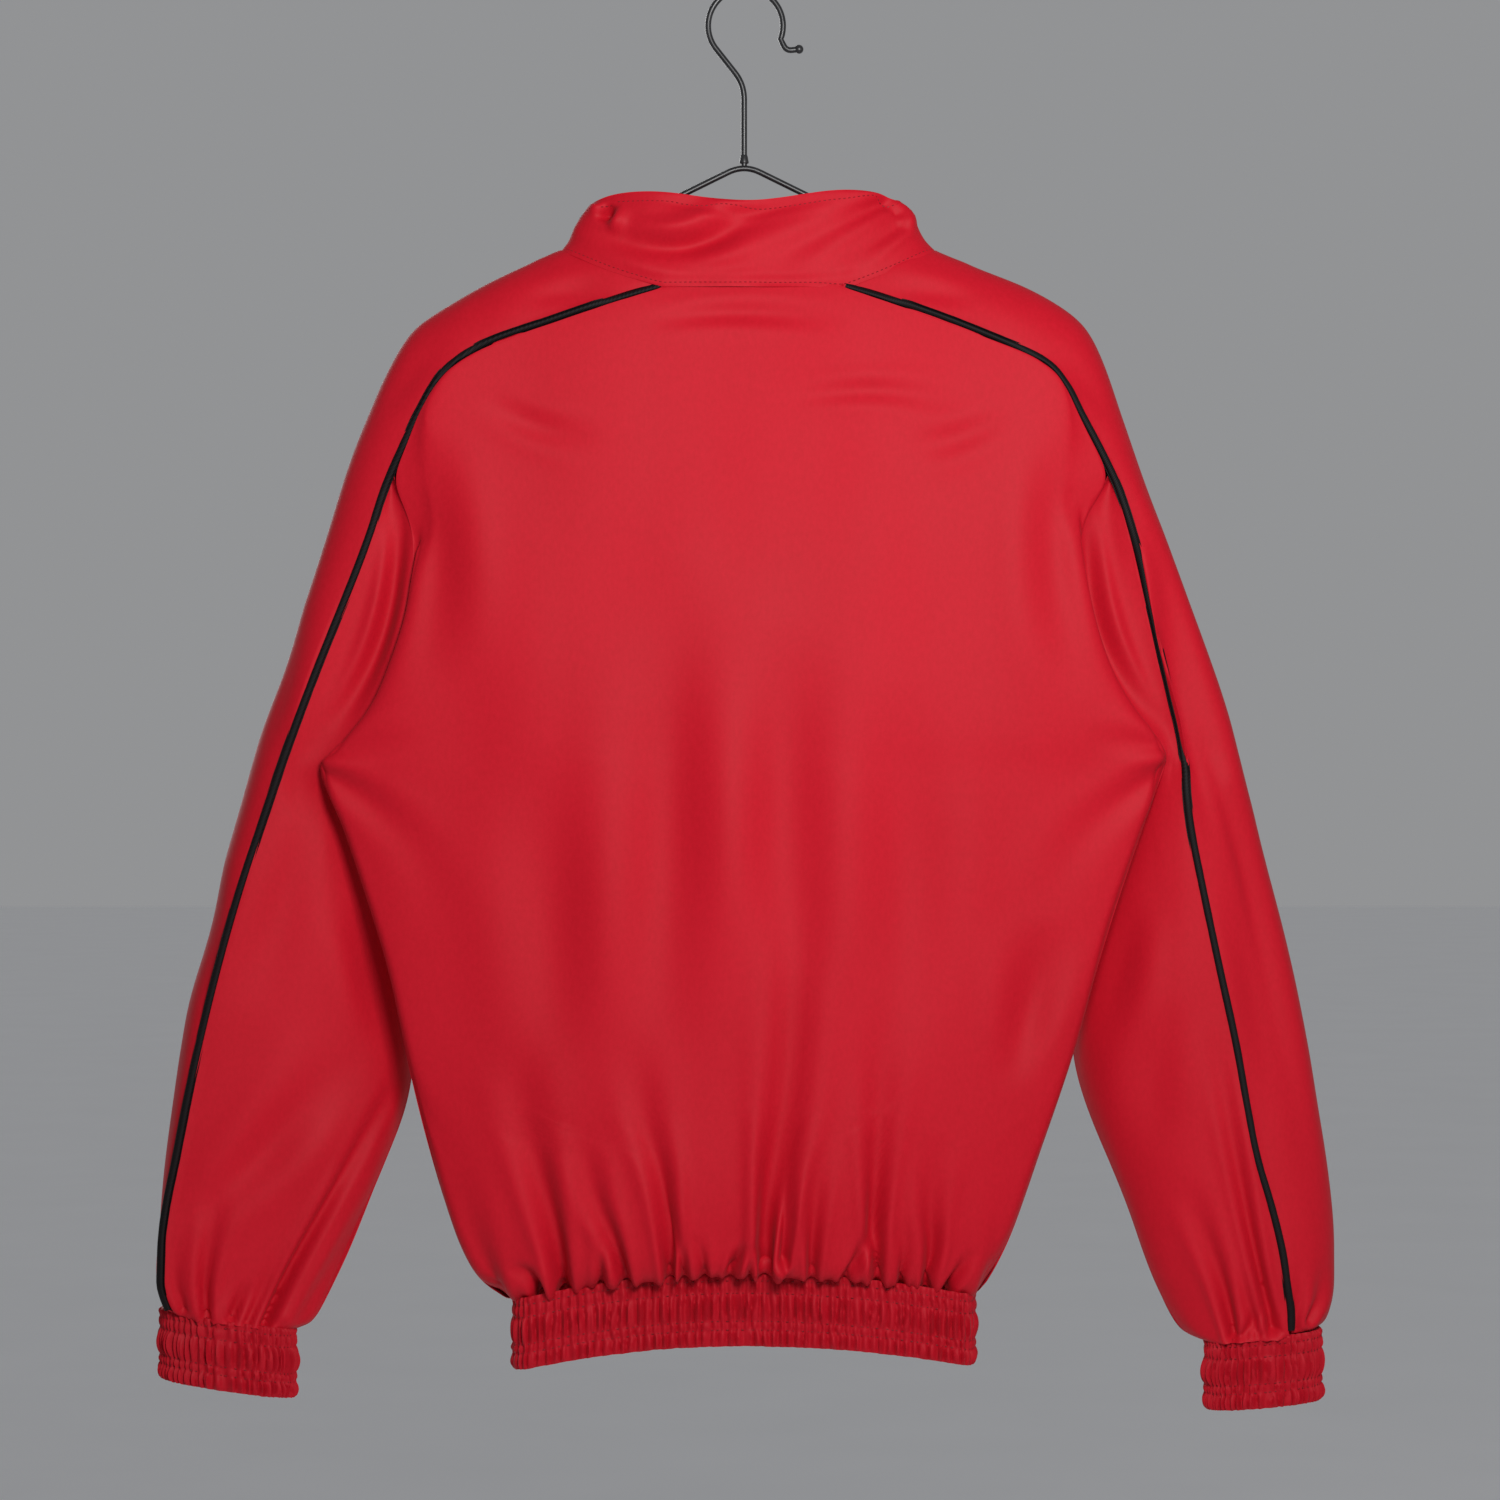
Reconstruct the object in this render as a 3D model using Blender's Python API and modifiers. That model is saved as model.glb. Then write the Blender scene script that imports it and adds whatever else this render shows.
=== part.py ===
"""Training jacket with a stand collar, piped shoulder strips and a shirred hem, on a wire hanger.

Metres, +Z up. The origin is the inner top of the hook, where a rail carries it. The wearer's front
faces -Y and the wearer's left is +X. Every cloth piece is a wall built from rows of points.
"""
import bpy
import bmesh
from math import atan2, cos, pi, sin
from mathutils import Matrix, Vector

# Driving dimensions
CLOTH = 0.0012              # wall of every cloth piece
SEAM_GAP = 0.0003           # between two pieces at a seam
PIPING_RADIUS = 0.0016
PIPING_ROOM = 0.0022        # from the middle of the piping to the cloth beside it
WIRE_RADIUS = 0.002
NECK_Z = -0.1987            # neck seam at the back, between the pipings
ARMHOLE_Z = -0.327          # where the armhole seam leaves the piping
UNDERARM_Z = {1: -0.518, -1: -0.508}
FRONT_NECK_Z = -0.250       # neck seam at the centre front
FRONT_TOP_Z = -0.2125       # where the front piping starts
HEM_SEAM_Z = -0.8595        # body to band, at the side
HEM_RISE = 0.0085           # the band arches up by this at the centre back
BAND_HEIGHT = 0.0475
BAND_HALF_WIDTH = 0.1525
BAND_HALF_DEPTH = 0.0260
BAND_RIBS = 100
CUFF_RIBS = 34
RIB_HEIGHT = 0.0013
ZIP_HALF_OPENING = 0.0045
CHAIN_HALF_WIDTH = 0.0025
TAPE_WIDTH = 0.0095
TAB_LENGTH = 0.030
TAB_THICKNESS = 0.0012

LEFT, RIGHT = 1, -1
SIDE_NAME = {LEFT: "left", RIGHT: "right"}


def split(face, points):
    """Two triangles from a quad along its shorter diagonal, so both faces of a wall bend alike."""
    if len(face) == 3:
        return [face]
    a, b, c, d = face
    if (points[a] - points[c]).length <= (points[b] - points[d]).length:
        return [(a, b, c), (a, c, d)]
    return [(a, b, d), (b, c, d)]


class Table:
    """Rows of named columns against the first one, read with no overshoot between the rows."""

    def __init__(self, columns, rows):
        self.columns = columns.split()
        self.rows = sorted(rows)

    def at(self, column, key):
        index = self.columns.index(column)
        keys = [row[0] for row in self.rows]
        values = [row[index] for row in self.rows]
        if key <= keys[0]:
            return values[0]
        if key >= keys[-1]:
            return values[-1]
        steps = [b - a for a, b in zip(keys, keys[1:])]
        grades = [(values[i + 1] - values[i]) / step for i, step in enumerate(steps)]
        slopes = [grades[0]]
        for before, after in zip(grades, grades[1:]):
            slopes.append(2 * before * after / (before + after) if before * after > 0 else 0.0)
        slopes.append(grades[-1])
        i = max(n for n in range(len(steps)) if keys[n] <= key)
        t = (key - keys[i]) / steps[i]
        return (values[i] * (1 + 2 * t) * (1 - t) ** 2 + values[i + 1] * t * t * (3 - 2 * t)
                + steps[i] * (slopes[i] * t * (1 - t) ** 2 - slopes[i + 1] * t * t * (1 - t)))


# Outline of the hanging jacket: how far each rail stands from the centre, by height
SILHOUETTE = Table("z left right", [
    (-0.1690, 0.1205, 0.1241), (-0.1828, 0.1472, 0.1590), (-0.1987, 0.1815, 0.1950),
    (-0.2092, 0.2020, 0.2130), (-0.2224, 0.2204, 0.2284), (-0.2488, 0.2363, 0.2409),
    (-0.2752, 0.2495, 0.2515), (-0.3280, 0.2693, 0.2693), (-0.4072, 0.2950, 0.2944),
    (-0.5128, 0.3287, 0.3260), (-0.6184, 0.3577, 0.3544), (-0.7240, 0.3802, 0.3795),
    (-0.7768, 0.3868, 0.3907), (-0.8296, 0.3890, 0.3960), (-0.8692, 0.3914, 0.3940),
    (-0.8824, 0.3870, 0.3900)])
PIPING = Table("z left_back right_back left_front right_front", [
    (-0.1987, 0.0551, 0.0663, 0.0551, 0.0663), (-0.2092, 0.0891, 0.0993, 0.0891, 0.0993),
    (-0.2224, 0.1274, 0.1363, 0.1240, 0.1320), (-0.2356, 0.1657, 0.1690, 0.1580, 0.1620),
    (-0.2488, 0.1907, 0.1987, 0.1820, 0.1890), (-0.2620, 0.2023, 0.2115, 0.1960, 0.2030),
    (-0.2884, 0.2171, 0.2254, 0.2110, 0.2190), (-0.3280, 0.2360, 0.2459, 0.2270, 0.2370),
    (-0.3676, 0.2492, 0.2587, 0.2400, 0.2510), (-0.4600, 0.2858, 0.2810, 0.2680, 0.2830),
    (-0.5080, 0.3035, 0.2915, 0.2840, 0.2960), (-0.5392, 0.3142, 0.2935, 0.2885, 0.3045),
    (-0.6184, 0.3399, 0.3080, 0.3075, 0.3260),
    (-0.6976, 0.3600, 0.3251, 0.3240, 0.3440), (-0.7768, 0.3762, 0.3396, 0.3360, 0.3600),
    (-0.8296, 0.3850, 0.3554, 0.3400, 0.3680), (-0.8692, 0.3860, 0.3617, 0.3420, 0.3680),
    (-0.8824, 0.3830, 0.3637, 0.3430, 0.3660)])
RIDGE_LIFT = Table("z lift", [
    (-0.1987, 0.0271), (-0.2092, 0.0245), (-0.2224, 0.0238), (-0.2356, 0.0245), (-0.2488, 0.0262),
    (-0.2620, 0.0250), (-0.2752, 0.0215), (-0.2884, 0.0175), (-0.3016, 0.0135), (-0.3280, 0.0085),
    (-0.3676, 0.0030), (-0.4100, 0.0)])
ARMHOLE = Table("z left_fold right_fold left_seam right_seam", [
    (-0.2750, 0.2120, 0.2120, 0.2120, 0.2120), (-0.3270, 0.2165, 0.2170, 0.2360, 0.2459),
    (-0.3410, 0.2168, 0.2185, 0.2270, 0.2320), (-0.3570, 0.2175, 0.2204, 0.2210, 0.2225),
    (-0.3750, 0.2183, 0.2235, 0.2165, 0.2205), (-0.4151, 0.2231, 0.2310, 0.2200, 0.2275),
    (-0.4475, 0.2335, 0.2409, 0.2300, 0.2370), (-0.4719, 0.2430, 0.2528, 0.2395, 0.2495),
    (-0.4924, 0.2565, 0.2693, 0.2540, 0.2670), (-0.5080, 0.2740, 0.2825, 0.2725, 0.2825),
    (-0.5180, 0.2851, 0.2825, 0.2851, 0.2825)])
SIDE_SEAM = Table("z left right", [
    (-0.5080, 0.2940, 0.2825), (-0.5180, 0.2851, 0.2790), (-0.5551, 0.2666, 0.2655),
    (-0.6006, 0.2515, 0.2490), (-0.6560, 0.2336, 0.2320), (-0.7088, 0.2237, 0.2185),
    (-0.7768, 0.2053, 0.1934), (-0.8296, 0.1848, 0.1729), (-0.8500, 0.1710, 0.1610),
    (-0.8595, 0.1540, 0.1540)])
UNDERARM_SEAM = {
    LEFT: Table("z x y", [
        (-0.5180, 0.2856, 0.0150), (-0.5350, 0.2815, -0.0030), (-0.5600, 0.2680, -0.0170),
        (-0.6000, 0.2450, -0.0290), (-0.6500, 0.2285, -0.0350), (-0.7000, 0.2215, -0.0330),
        (-0.7372, 0.2237, -0.0280), (-0.7768, 0.2383, -0.0200), (-0.8296, 0.2620, -0.0120),
        (-0.8692, 0.2825, -0.0060), (-0.8824, 0.2890, -0.0040)]),
    RIGHT: Table("z x y", [
        (-0.5080, 0.2830, 0.0150), (-0.5180, 0.2815, 0.0100), (-0.5350, 0.2765, -0.0050),
        (-0.5600, 0.2660, -0.0170), (-0.6000, 0.2430, -0.0290), (-0.6500, 0.2270, -0.0350),
        (-0.7000, 0.2180, -0.0330), (-0.7372, 0.2264, -0.0280), (-0.7768, 0.2429, -0.0200),
        (-0.8296, 0.2666, -0.0120), (-0.8692, 0.2858, -0.0060), (-0.8824, 0.2950, -0.0040)])}

# Depths: where the cloth stands in Y, by height
BACK_DEPTH = Table("z centre shoulder edge", [
    (-0.1987, 0.0280, 0.0265, 0.0255), (-0.2224, 0.0310, 0.0300, 0.0280),
    (-0.2620, 0.0340, 0.0340, 0.0290), (-0.2930, 0.0360, 0.0355, 0.0275),
    (-0.3270, 0.0380, 0.0370, 0.0240), (-0.3610, 0.0400, 0.0380, 0.0220),
    (-0.4200, 0.0420, 0.0380, 0.0210), (-0.4830, 0.0440, 0.0340, 0.0190),
    (-0.5080, 0.0445, 0.0290, 0.0170), (-0.5180, 0.0450, 0.0270, 0.0160),
    (-0.5550, 0.0455, 0.0270, 0.0180), (-0.6000, 0.0460, 0.0290, 0.0200),
    (-0.7000, 0.0480, 0.0300, 0.0210), (-0.8000, 0.0520, 0.0300, 0.0180),
    (-0.8450, 0.0500, 0.0260, 0.0120), (-0.8560, 0.0440, 0.0220, 0.0060),
    (-0.8595, 0.0258, 0.0130, 0.0)])
FRONT_DEPTH = Table("z centre shoulder edge", [
    (-0.2088, -0.0440, -0.0410, -0.0400), (-0.2500, -0.0460, -0.0400, -0.0390),
    (-0.3000, -0.0430, -0.0390, -0.0380), (-0.3270, -0.0420, -0.0370, -0.0360),
    (-0.4000, -0.0400, -0.0300, -0.0200), (-0.4600, -0.0405, -0.0180, -0.0050),
    (-0.4950, -0.0410, -0.0050, 0.0080), (-0.5180, -0.0415, 0.0050, 0.0160),
    (-0.5550, -0.0420, 0.0090, 0.0180), (-0.6000, -0.0430, 0.0100, 0.0200),
    (-0.7000, -0.0460, 0.0080, 0.0210), (-0.8000, -0.0480, 0.0020, 0.0180),
    (-0.8300, -0.0470, -0.0030, 0.0140), (-0.8450, -0.0430, -0.0080, 0.0120),
    (-0.8560, -0.0340, -0.0100, 0.0060), (-0.8595, -0.0262, -0.0130, 0.0)])
SLEEVE_DEPTH = Table("z back ridge front", [
    (-0.1987, 0.0255, 0.0, -0.0400), (-0.2224, 0.0280, 0.0, -0.0400),
    (-0.2620, 0.0290, 0.0, -0.0390), (-0.2930, 0.0275, 0.0, -0.0380),
    (-0.3270, 0.0240, -0.0010, -0.0370), (-0.4200, 0.0220, -0.0040, -0.0390),
    (-0.5180, 0.0220, -0.0080, -0.0420), (-0.6500, 0.0220, -0.0100, -0.0460),
    (-0.7770, 0.0250, -0.0080, -0.0420), (-0.8500, 0.0270, -0.0040, -0.0330),
    (-0.8824, 0.0240, 0.0, -0.0270)])
NECK_CURVE = Table("z x", [
    (-0.2088, 0.0850), (-0.2150, 0.0770), (-0.2224, 0.0672), (-0.2290, 0.0570), (-0.2356, 0.0455),
    (-0.2425, 0.0300), (-0.2470, 0.0160), (-0.2500, 0.0045)])
COLLAR_TOP = Table("turn x y z", [
    (0.00, 0.0000, 0.0220, -0.1445), (0.17, 0.0475, 0.0235, -0.1370),
    (0.33, 0.0880, 0.0200, -0.1315), (0.42, 0.1060, 0.0110, -0.1370),
    (0.50, 0.1135, -0.0040, -0.1480), (0.62, 0.1030, -0.0240, -0.1600),
    (0.82, 0.0550, -0.0430, -0.1780), (0.93, 0.0240, -0.0486, -0.1870),
    (1.00, 0.0045, -0.0490, -0.1900)])

# Folds and gathers: a row for each
BACK_GATHERS = Table("place depth reach", [
    (-0.90, 0.0025, 0.055), (-0.77, 0.0040, 0.080), (-0.54, 0.0055, 0.130), (-0.30, 0.0040, 0.060),
    (-0.19, 0.0040, 0.085), (-0.10, 0.0060, 0.130), (0.062, 0.0040, 0.060), (0.243, 0.0035, 0.050),
    (0.305, 0.0045, 0.090), (0.480, 0.0040, 0.060), (0.740, 0.0055, 0.090), (0.900, 0.0025, 0.060)])
FRONT_GATHERS = Table("place depth reach", [
    (0.24, 0.0030, 0.050), (0.38, 0.0050, 0.110), (0.53, 0.0040, 0.070), (0.70, 0.0050, 0.100),
    (0.86, 0.0035, 0.060)])
SLEEVE_GATHERS = Table("place depth reach", [
    (0.18, 0.0030, 0.050), (0.50, 0.0040, 0.080), (0.80, 0.0030, 0.060)])
COLLAR_FOLDS = Table("turn depth width", [
    (-0.40, 0.0040, 0.055), (-0.27, 0.0022, 0.045), (0.14, 0.0020, 0.050), (0.29, 0.0030, 0.045),
    (0.43, 0.0045, 0.055)])

YOKE_ROWS = (-0.1987, -0.2006, -0.2066, -0.2145, -0.2224, -0.2356, -0.2488, -0.2640, -0.2840,
             -0.3060, -0.3270)
ARMHOLE_ROWS = (-0.3430, -0.3610, -0.3850, -0.4150, -0.4450, -0.4720, -0.4920, -0.5080, -0.5180)
SIDE_ROWS = (-0.5350, -0.5600, -0.6000, -0.6500, -0.7000, -0.7400)
HEM_ROWS = (-0.7700, -0.7950, -0.8160, -0.8330, -0.8470, -0.8560, -0.8595)
SLEEVE_ROWS = (-0.7750, -0.8050, -0.8300, -0.8520, -0.8680)
CUFF_SEAM = {  # top middle of each cuff ring
    LEFT: dict(x=0.3442, z=-0.8842, half_width=0.0435, half_depth=0.0215, tilt=0.150, height=0.0465),
    RIGHT: dict(x=0.3461, z=-0.8945, half_width=0.0372, half_depth=0.0235, tilt=0.090,
                height=0.0470)}


def blend(a, b, t):
    return a + (b - a) * t


def ease(t):
    t = min(max(t, 0.0), 1.0)
    return t * t * (3 - 2 * t)


def corner_arc(start, end, corner, steps):
    """Quarter of an ellipse from start to end, whose tangents meet in the corner."""
    turns = [pi / 2 * i / steps for i in range(steps + 1)]
    return [corner + (start - corner) * (1 - sin(a)) + (end - corner) * (1 - cos(a)) for a in turns]


def pull(z, table, place):
    """How far a row of gathers draws the cloth in, at a place across the panel."""
    total = 0.0
    places = [row[0] for row in table.rows]
    for i, (centre, depth, reach) in enumerate(table.rows):
        before = places[i - 1] if i else centre - 0.16
        after = places[i + 1] if i + 1 < len(places) else centre + 0.16
        width = (centre - before) / 2 if place < centre else (after - centre) / 2
        near = max(0.0, 1 - abs(place - centre) / width)
        total += depth * ease(near) * ease((HEM_SEAM_Z + reach - z) / reach)
    return total


def rail(table, side, name, z):
    return table.at(SIDE_NAME[side] + name, z)


# Rails shared by the panels on both sides of a seam

def back_piping(side, z):
    return Vector((side * rail(PIPING, side, "_back", z), SLEEVE_DEPTH.at("back", z), z))


def front_station(z):
    """Height of the front piping at the station whose back piping stands at z."""
    if z <= YOKE_ROWS[4]:
        return z
    return blend(FRONT_TOP_Z, YOKE_ROWS[4], YOKE_ROWS.index(z) / 4)


def front_piping(side, z):
    level = front_station(z)
    return Vector((side * rail(PIPING, side, "_front", level), SLEEVE_DEPTH.at("front", level), level))


def ridge(side, z):
    level = z + RIDGE_LIFT.at("lift", z)
    return Vector((side * rail(SILHOUETTE, side, "", level), SLEEVE_DEPTH.at("ridge", z), level))


def body_edge(side, z):
    """Fold and end of the back panel's row: the piping, the armhole seam or the side seam."""
    depth = BACK_DEPTH.at("edge", z)
    if z < UNDERARM_Z[side] - 0.0001:
        x = rail(SIDE_SEAM, side, "", z)
        return x, Vector((side * x, depth, z))
    if z < ARMHOLE_Z - 0.0001:
        fold = rail(ARMHOLE, side, "_fold", z)
        depth += 0.0015 * ease((UNDERARM_Z[side] + 0.03 - z) / 0.03)
        return fold, Vector((side * rail(ARMHOLE, side, "_seam", z), depth, z))
    end = back_piping(side, z)
    near = ease((-0.262 - z) / 0.065)
    return blend(abs(end.x), rail(ARMHOLE, side, "_fold", z), near), end


def front_end(side, z):
    """Outer end of the front panel's row."""
    if z < UNDERARM_Z[side] - 0.0001:
        return body_edge(side, z)[1]
    depth = FRONT_DEPTH.at("edge", z)
    if z < ARMHOLE_Z - 0.0001:
        depth = min(depth, BACK_DEPTH.at("edge", z) - 0.0020)
        inset = 0.006 * ease((z - UNDERARM_Z[side]) / 0.06)
        seam = rail(ARMHOLE, side, "_seam", z) - inset
        piping = rail(PIPING, side, "_front", z)
        return Vector((side * min(seam, piping - 0.0001), depth, z))
    return front_piping(side, z)


def hem_rise(x, z):
    """The hem seam arches up towards the centre back and front."""
    across = max(0.0, 1 - (x / BAND_HALF_WIDTH) ** 2)
    return HEM_RISE * across * ease((-0.800 - z) / 0.055)


def half_row(side, z, depths, edge_x, end, places, steps):
    """Row from the centre line to its end: a shallow crown, then a turn over the edge."""
    centre = depths.at("centre", z)
    shoulder = depths.at("shoulder", z)
    turn = abs(shoulder - end.y)
    start = edge_x - max(turn * 0.9, 0.004)
    points = []
    for place in places:
        x = place * start
        y = shoulder + (centre - shoulder) * (1 - place ** 2)
        points.append(Vector((side * x, y, z)))
    first = points[-1] if places[-1] == 1.0 else Vector((side * start, shoulder, z))
    middle = Vector((side * edge_x, blend(shoulder, end.y, 0.42), z))
    if abs(end.x) > edge_x + 0.002:
        middle = Vector((side * blend(start, abs(end.x), 0.45), blend(shoulder, end.y, 0.60), z))
    elif abs(abs(end.x) - edge_x) < 0.0005:
        middle = Vector((side * blend(start, edge_x, 0.75), blend(shoulder, end.y, 0.30), z))
    handle = middle * 2 - (first + end) / 2
    for i in range(1, steps + 1):
        t = i / steps
        points.append(first * (1 - t) ** 2 + handle * 2 * t * (1 - t) + end * t * t)
    return points


# Rows of the panels, each from the wearer's left to right over the back, or right to left in front

COARSE = (0.0, 0.25, 0.5, 0.75, 1.0)
EDGE_STEPS = 3


def gather_places(table):
    """A column on each gather and one on the crown between two."""
    centres = [row[0] for row in table.rows]
    places = [centres[0]]
    for before, after in zip(centres, centres[1:]):
        places += [(before + after) / 2, after]
    return places


def back_rows():
    rows = []
    fine = gather_places(BACK_GATHERS)
    for z in YOKE_ROWS + ARMHOLE_ROWS + SIDE_ROWS + HEM_ROWS:
        halves = {}
        for side in (LEFT, RIGHT):
            fold, end = body_edge(side, z)
            if z > HEM_ROWS[0] + 0.001:
                places = COARSE
            else:
                places = [0.0] + sorted(abs(p) for p in fine if p * side > 0) + [1.0]
            halves[side] = (half_row(side, z, BACK_DEPTH, fold, end, places, EDGE_STEPS), places)
        left, places = halves[LEFT]
        right, right_places = halves[RIGHT]
        if z <= HEM_ROWS[0] + 0.001:
            for points, spots, side in ((left, places, LEFT), (right, right_places, RIGHT)):
                for point, place in zip(points, spots):
                    point.y -= pull(z, BACK_GATHERS, side * place)
            for point in left + right[1:]:
                point.z += hem_rise(point.x, z)
        row = list(reversed(left)) + right[1:]
        rows.append(row)
    blouse = rows[-2]
    for point in blouse:
        outward = ease((point.y - 0.02) / 0.02)
        point.z -= 0.0045 * outward
    return rows


def neck_x(z):
    return NECK_CURVE.at("x", z) if z > FRONT_NECK_Z else ZIP_HALF_OPENING


def front_rows(side):
    rows = []
    levels = [front_station(z) for z in YOKE_ROWS]
    neck_rows = [z for z in levels if z > FRONT_NECK_Z]
    body_rows = [FRONT_NECK_Z] + [z for z in levels if z < FRONT_NECK_Z - 0.004]
    for z in neck_rows[:-1] + body_rows + list(ARMHOLE_ROWS + SIDE_ROWS + HEM_ROWS):
        station = z
        for back, front in zip(YOKE_ROWS, levels):
            if abs(front - z) < 1e-6:
                station = back
        end = front_piping(side, station) if z > ARMHOLE_Z - 0.0001 else front_end(side, z)
        if abs(z - FRONT_NECK_Z) < 1e-6:
            end = front_piping(side, neck_rows[-1])
        inner = neck_x(z)
        fine = z <= HEM_ROWS[0] + 0.001
        places = [0.0] + ([0.1] + gather_places(FRONT_GATHERS) if fine else [0.3, 0.6]) + [1.0]
        centre = FRONT_DEPTH.at("centre", z)
        shoulder = FRONT_DEPTH.at("shoulder", z)
        turn = abs(shoulder - end.y) * 0.9
        start = abs(end.x) - max(turn, 0.1 * (abs(end.x) - inner))
        row = []
        for place in places:
            x = blend(inner, start, place)
            y = shoulder + (centre - shoulder) * (1 - (x / start) ** 2)
            level = blend(z, end.z, place)
            y += pull(z, FRONT_GATHERS, place) if fine else 0.0
            row.append(Vector((side * x, y, level)))
        first = row[-1].copy()
        corner = Vector((end.x, first.y, end.z))
        row += corner_arc(first, end, corner, 2)[1:]
        if fine:
            for point in row:
                point.z += hem_rise(point.x, z)
        rows.append(row)
    return rows if side == LEFT else [list(reversed(row)) for row in rows]


STRIP_STEPS = 3


def fold_over(side, z):
    """The right strip folds over its back piping below the shoulder."""
    if side == LEFT:
        return 0.0
    return ease((-0.368 - z) / 0.03) * ease((z + 0.530) / 0.02)


def strip_row(side, z, back, top, front):
    row = corner_arc(back, top, Vector((top.x, back.y, top.z)), STRIP_STEPS)
    row += corner_arc(front, top, Vector((top.x, front.y, top.z)), STRIP_STEPS)[-2::-1]
    over = fold_over(side, z)
    if over > 0.0:
        row[0].y -= 0.0060 * over
        row[1] = blend(row[1], Vector((side * (abs(back.x) - 0.0020), back.y + 0.0015, z)), over)
    return row


def cuff_ring(side, angle, drop, out):
    """Point of the cuff's outer face, at an angle seen from above and a drop below its seam."""
    cuff = CUFF_SEAM[side]
    squareness = 0.8
    c, s = cos(angle), sin(angle)
    x = (cuff["half_width"] + out) * (abs(c) ** squareness) * (1 if c >= 0 else -1)
    y = (cuff["half_depth"] + out) * (abs(s) ** squareness) * (1 if s >= 0 else -1)
    level = cuff["z"] + cuff["tilt"] * x * (1 if side == LEFT else -1) - drop
    return Vector((side * cuff["x"] + x, y, level))


def nearest_ring_angle(side, point):
    cuff = CUFF_SEAM[side]
    dx = (point.x - side * cuff["x"]) / cuff["half_width"]
    dy = point.y / cuff["half_depth"]
    return atan2(dy, dx)


def to_cuff(side, row):
    """The sleeve's last row, drawn in to the cuff's ring."""
    return [cuff_ring(side, nearest_ring_angle(side, point), -SEAM_GAP * 1.5, -CLOTH / 2)
            for point in row]


def sleeve_sections(side):
    """Rows of the strip, sleeve back and sleeve front, from the collar to the cuff."""
    strip, back, front = [], [], []
    for z in YOKE_ROWS + ARMHOLE_ROWS + SIDE_ROWS + SLEEVE_ROWS:
        p, r, f = back_piping(side, z), ridge(side, z), front_piping(side, z)
        strip.append(strip_row(side, z, p, r, f))
        p = strip[-1][0]
        if z > ARMHOLE_Z - 0.001:
            continue
        open_arm = z >= UNDERARM_Z[side] - 0.0001
        if open_arm:
            seam, front_seam = body_edge(side, z)[1], front_end(side, z)
        else:
            under = UNDERARM_SEAM[side]
            seam = Vector((side * under.at("x", z), under.at("y", z), z))
            front_seam = seam
        round_off = ease((UNDERARM_Z[side] - z) / 0.04)
        valley = 0.005 * ease((z - UNDERARM_Z[side] + 0.02) / 0.04)
        back.append(underside(seam, p, round_off, valley, 7))
        front.append(list(reversed(underside(front_seam, f, round_off, 0.0, 6))))
    for rows, gathers in ((back, True), (front, True)):
        for row in rows[-5:]:
            spread = len(row) - 1
            for i, point in enumerate(row):
                z = point.z + HEM_SEAM_Z + 0.8700
                point.y += pull(z, SLEEVE_GATHERS, i / spread) * (-1 if rows is back else 1)
    tilt = CUFF_SEAM[side]["tilt"]
    for rows in (strip, back, front):
        for row in rows[-5:]:
            for point in row:
                weight = ease((-0.790 - point.z) / 0.075)
                shift = CUFF_SEAM[side]["z"] + 0.8842
                point.z += weight * (tilt * (abs(point.x) - CUFF_SEAM[side]["x"]) + shift)
        puff = [point.copy() for point in rows[-1]]
        ring = to_cuff(side, puff)
        for point, end in zip(puff, ring):
            inward = Vector((end.x - point.x, end.y - point.y, 0.0))
            point.x += inward.x * 0.35
            point.y += inward.y * 0.35
            point.z = end.z + 0.0030
        rows.append(puff)
        rows.append(ring)
    return strip, back, front


def underside(seam, piping, round_off, valley, steps):
    """Row of a sleeve half, from its seam under the arm to the piping."""
    row = []
    for i in range(steps + 1):
        t = i / steps
        across = blend(t, 1 - cos(pi / 2 * t), round_off)
        rise = blend(ease(t), sin(pi / 2 * t), round_off)
        y = blend(seam.y, piping.y, rise)
        y -= valley * sin(pi * t) * (1 if piping.y > 0 else -1)
        row.append(Vector((blend(seam.x, piping.x, across), y, blend(seam.z, piping.z, t))))
    return row


def collar_rows(neck):
    """Rows of the stand collar from its top edge down to the neck seam."""
    lengths = [0.0]
    for before, after in zip(neck, neck[1:]):
        lengths.append(lengths[-1] + (after - before).length)
    centre = min(range(len(neck)), key=lambda i: abs(neck[i].x) - (1 if neck[i].y > 0 else 0))
    rows = []
    levels = (0.0, 0.10, 0.35, 0.6, 0.85, 1.0)
    for level in levels:
        row = []
        for i, foot in enumerate(neck):
            if i <= centre:
                turn, side = 1 - lengths[i] / lengths[centre], 1
            else:
                turn = (lengths[i] - lengths[centre]) / (lengths[-1] - lengths[centre])
                side = -1
            top = Vector((side * COLLAR_TOP.at("x", turn), COLLAR_TOP.at("y", turn),
                          COLLAR_TOP.at("z", turn)))
            point = blend(top, foot, level)
            away = Vector((point.x, point.y * 3, 0.0)).normalized()
            swell = 0.0030 * sin(pi * level) * ease((1 - turn) / 0.15)
            fold = 0.0
            for place, depth, width in COLLAR_FOLDS.rows:
                slanted = place + (level - 0.4) * 0.10 * (1 if place > 0 else -1)
                near = max(0.0, 1 - abs(-side * turn - slanted) / width)
                fold += depth * ease(near) * sin(pi * min(level * 1.25, 1.0))
            row.append(point + away * (swell - fold) if 0 < level < 1 else point)
        rows.append(row)
    return rows


# From rows of points to closed walls

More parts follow.
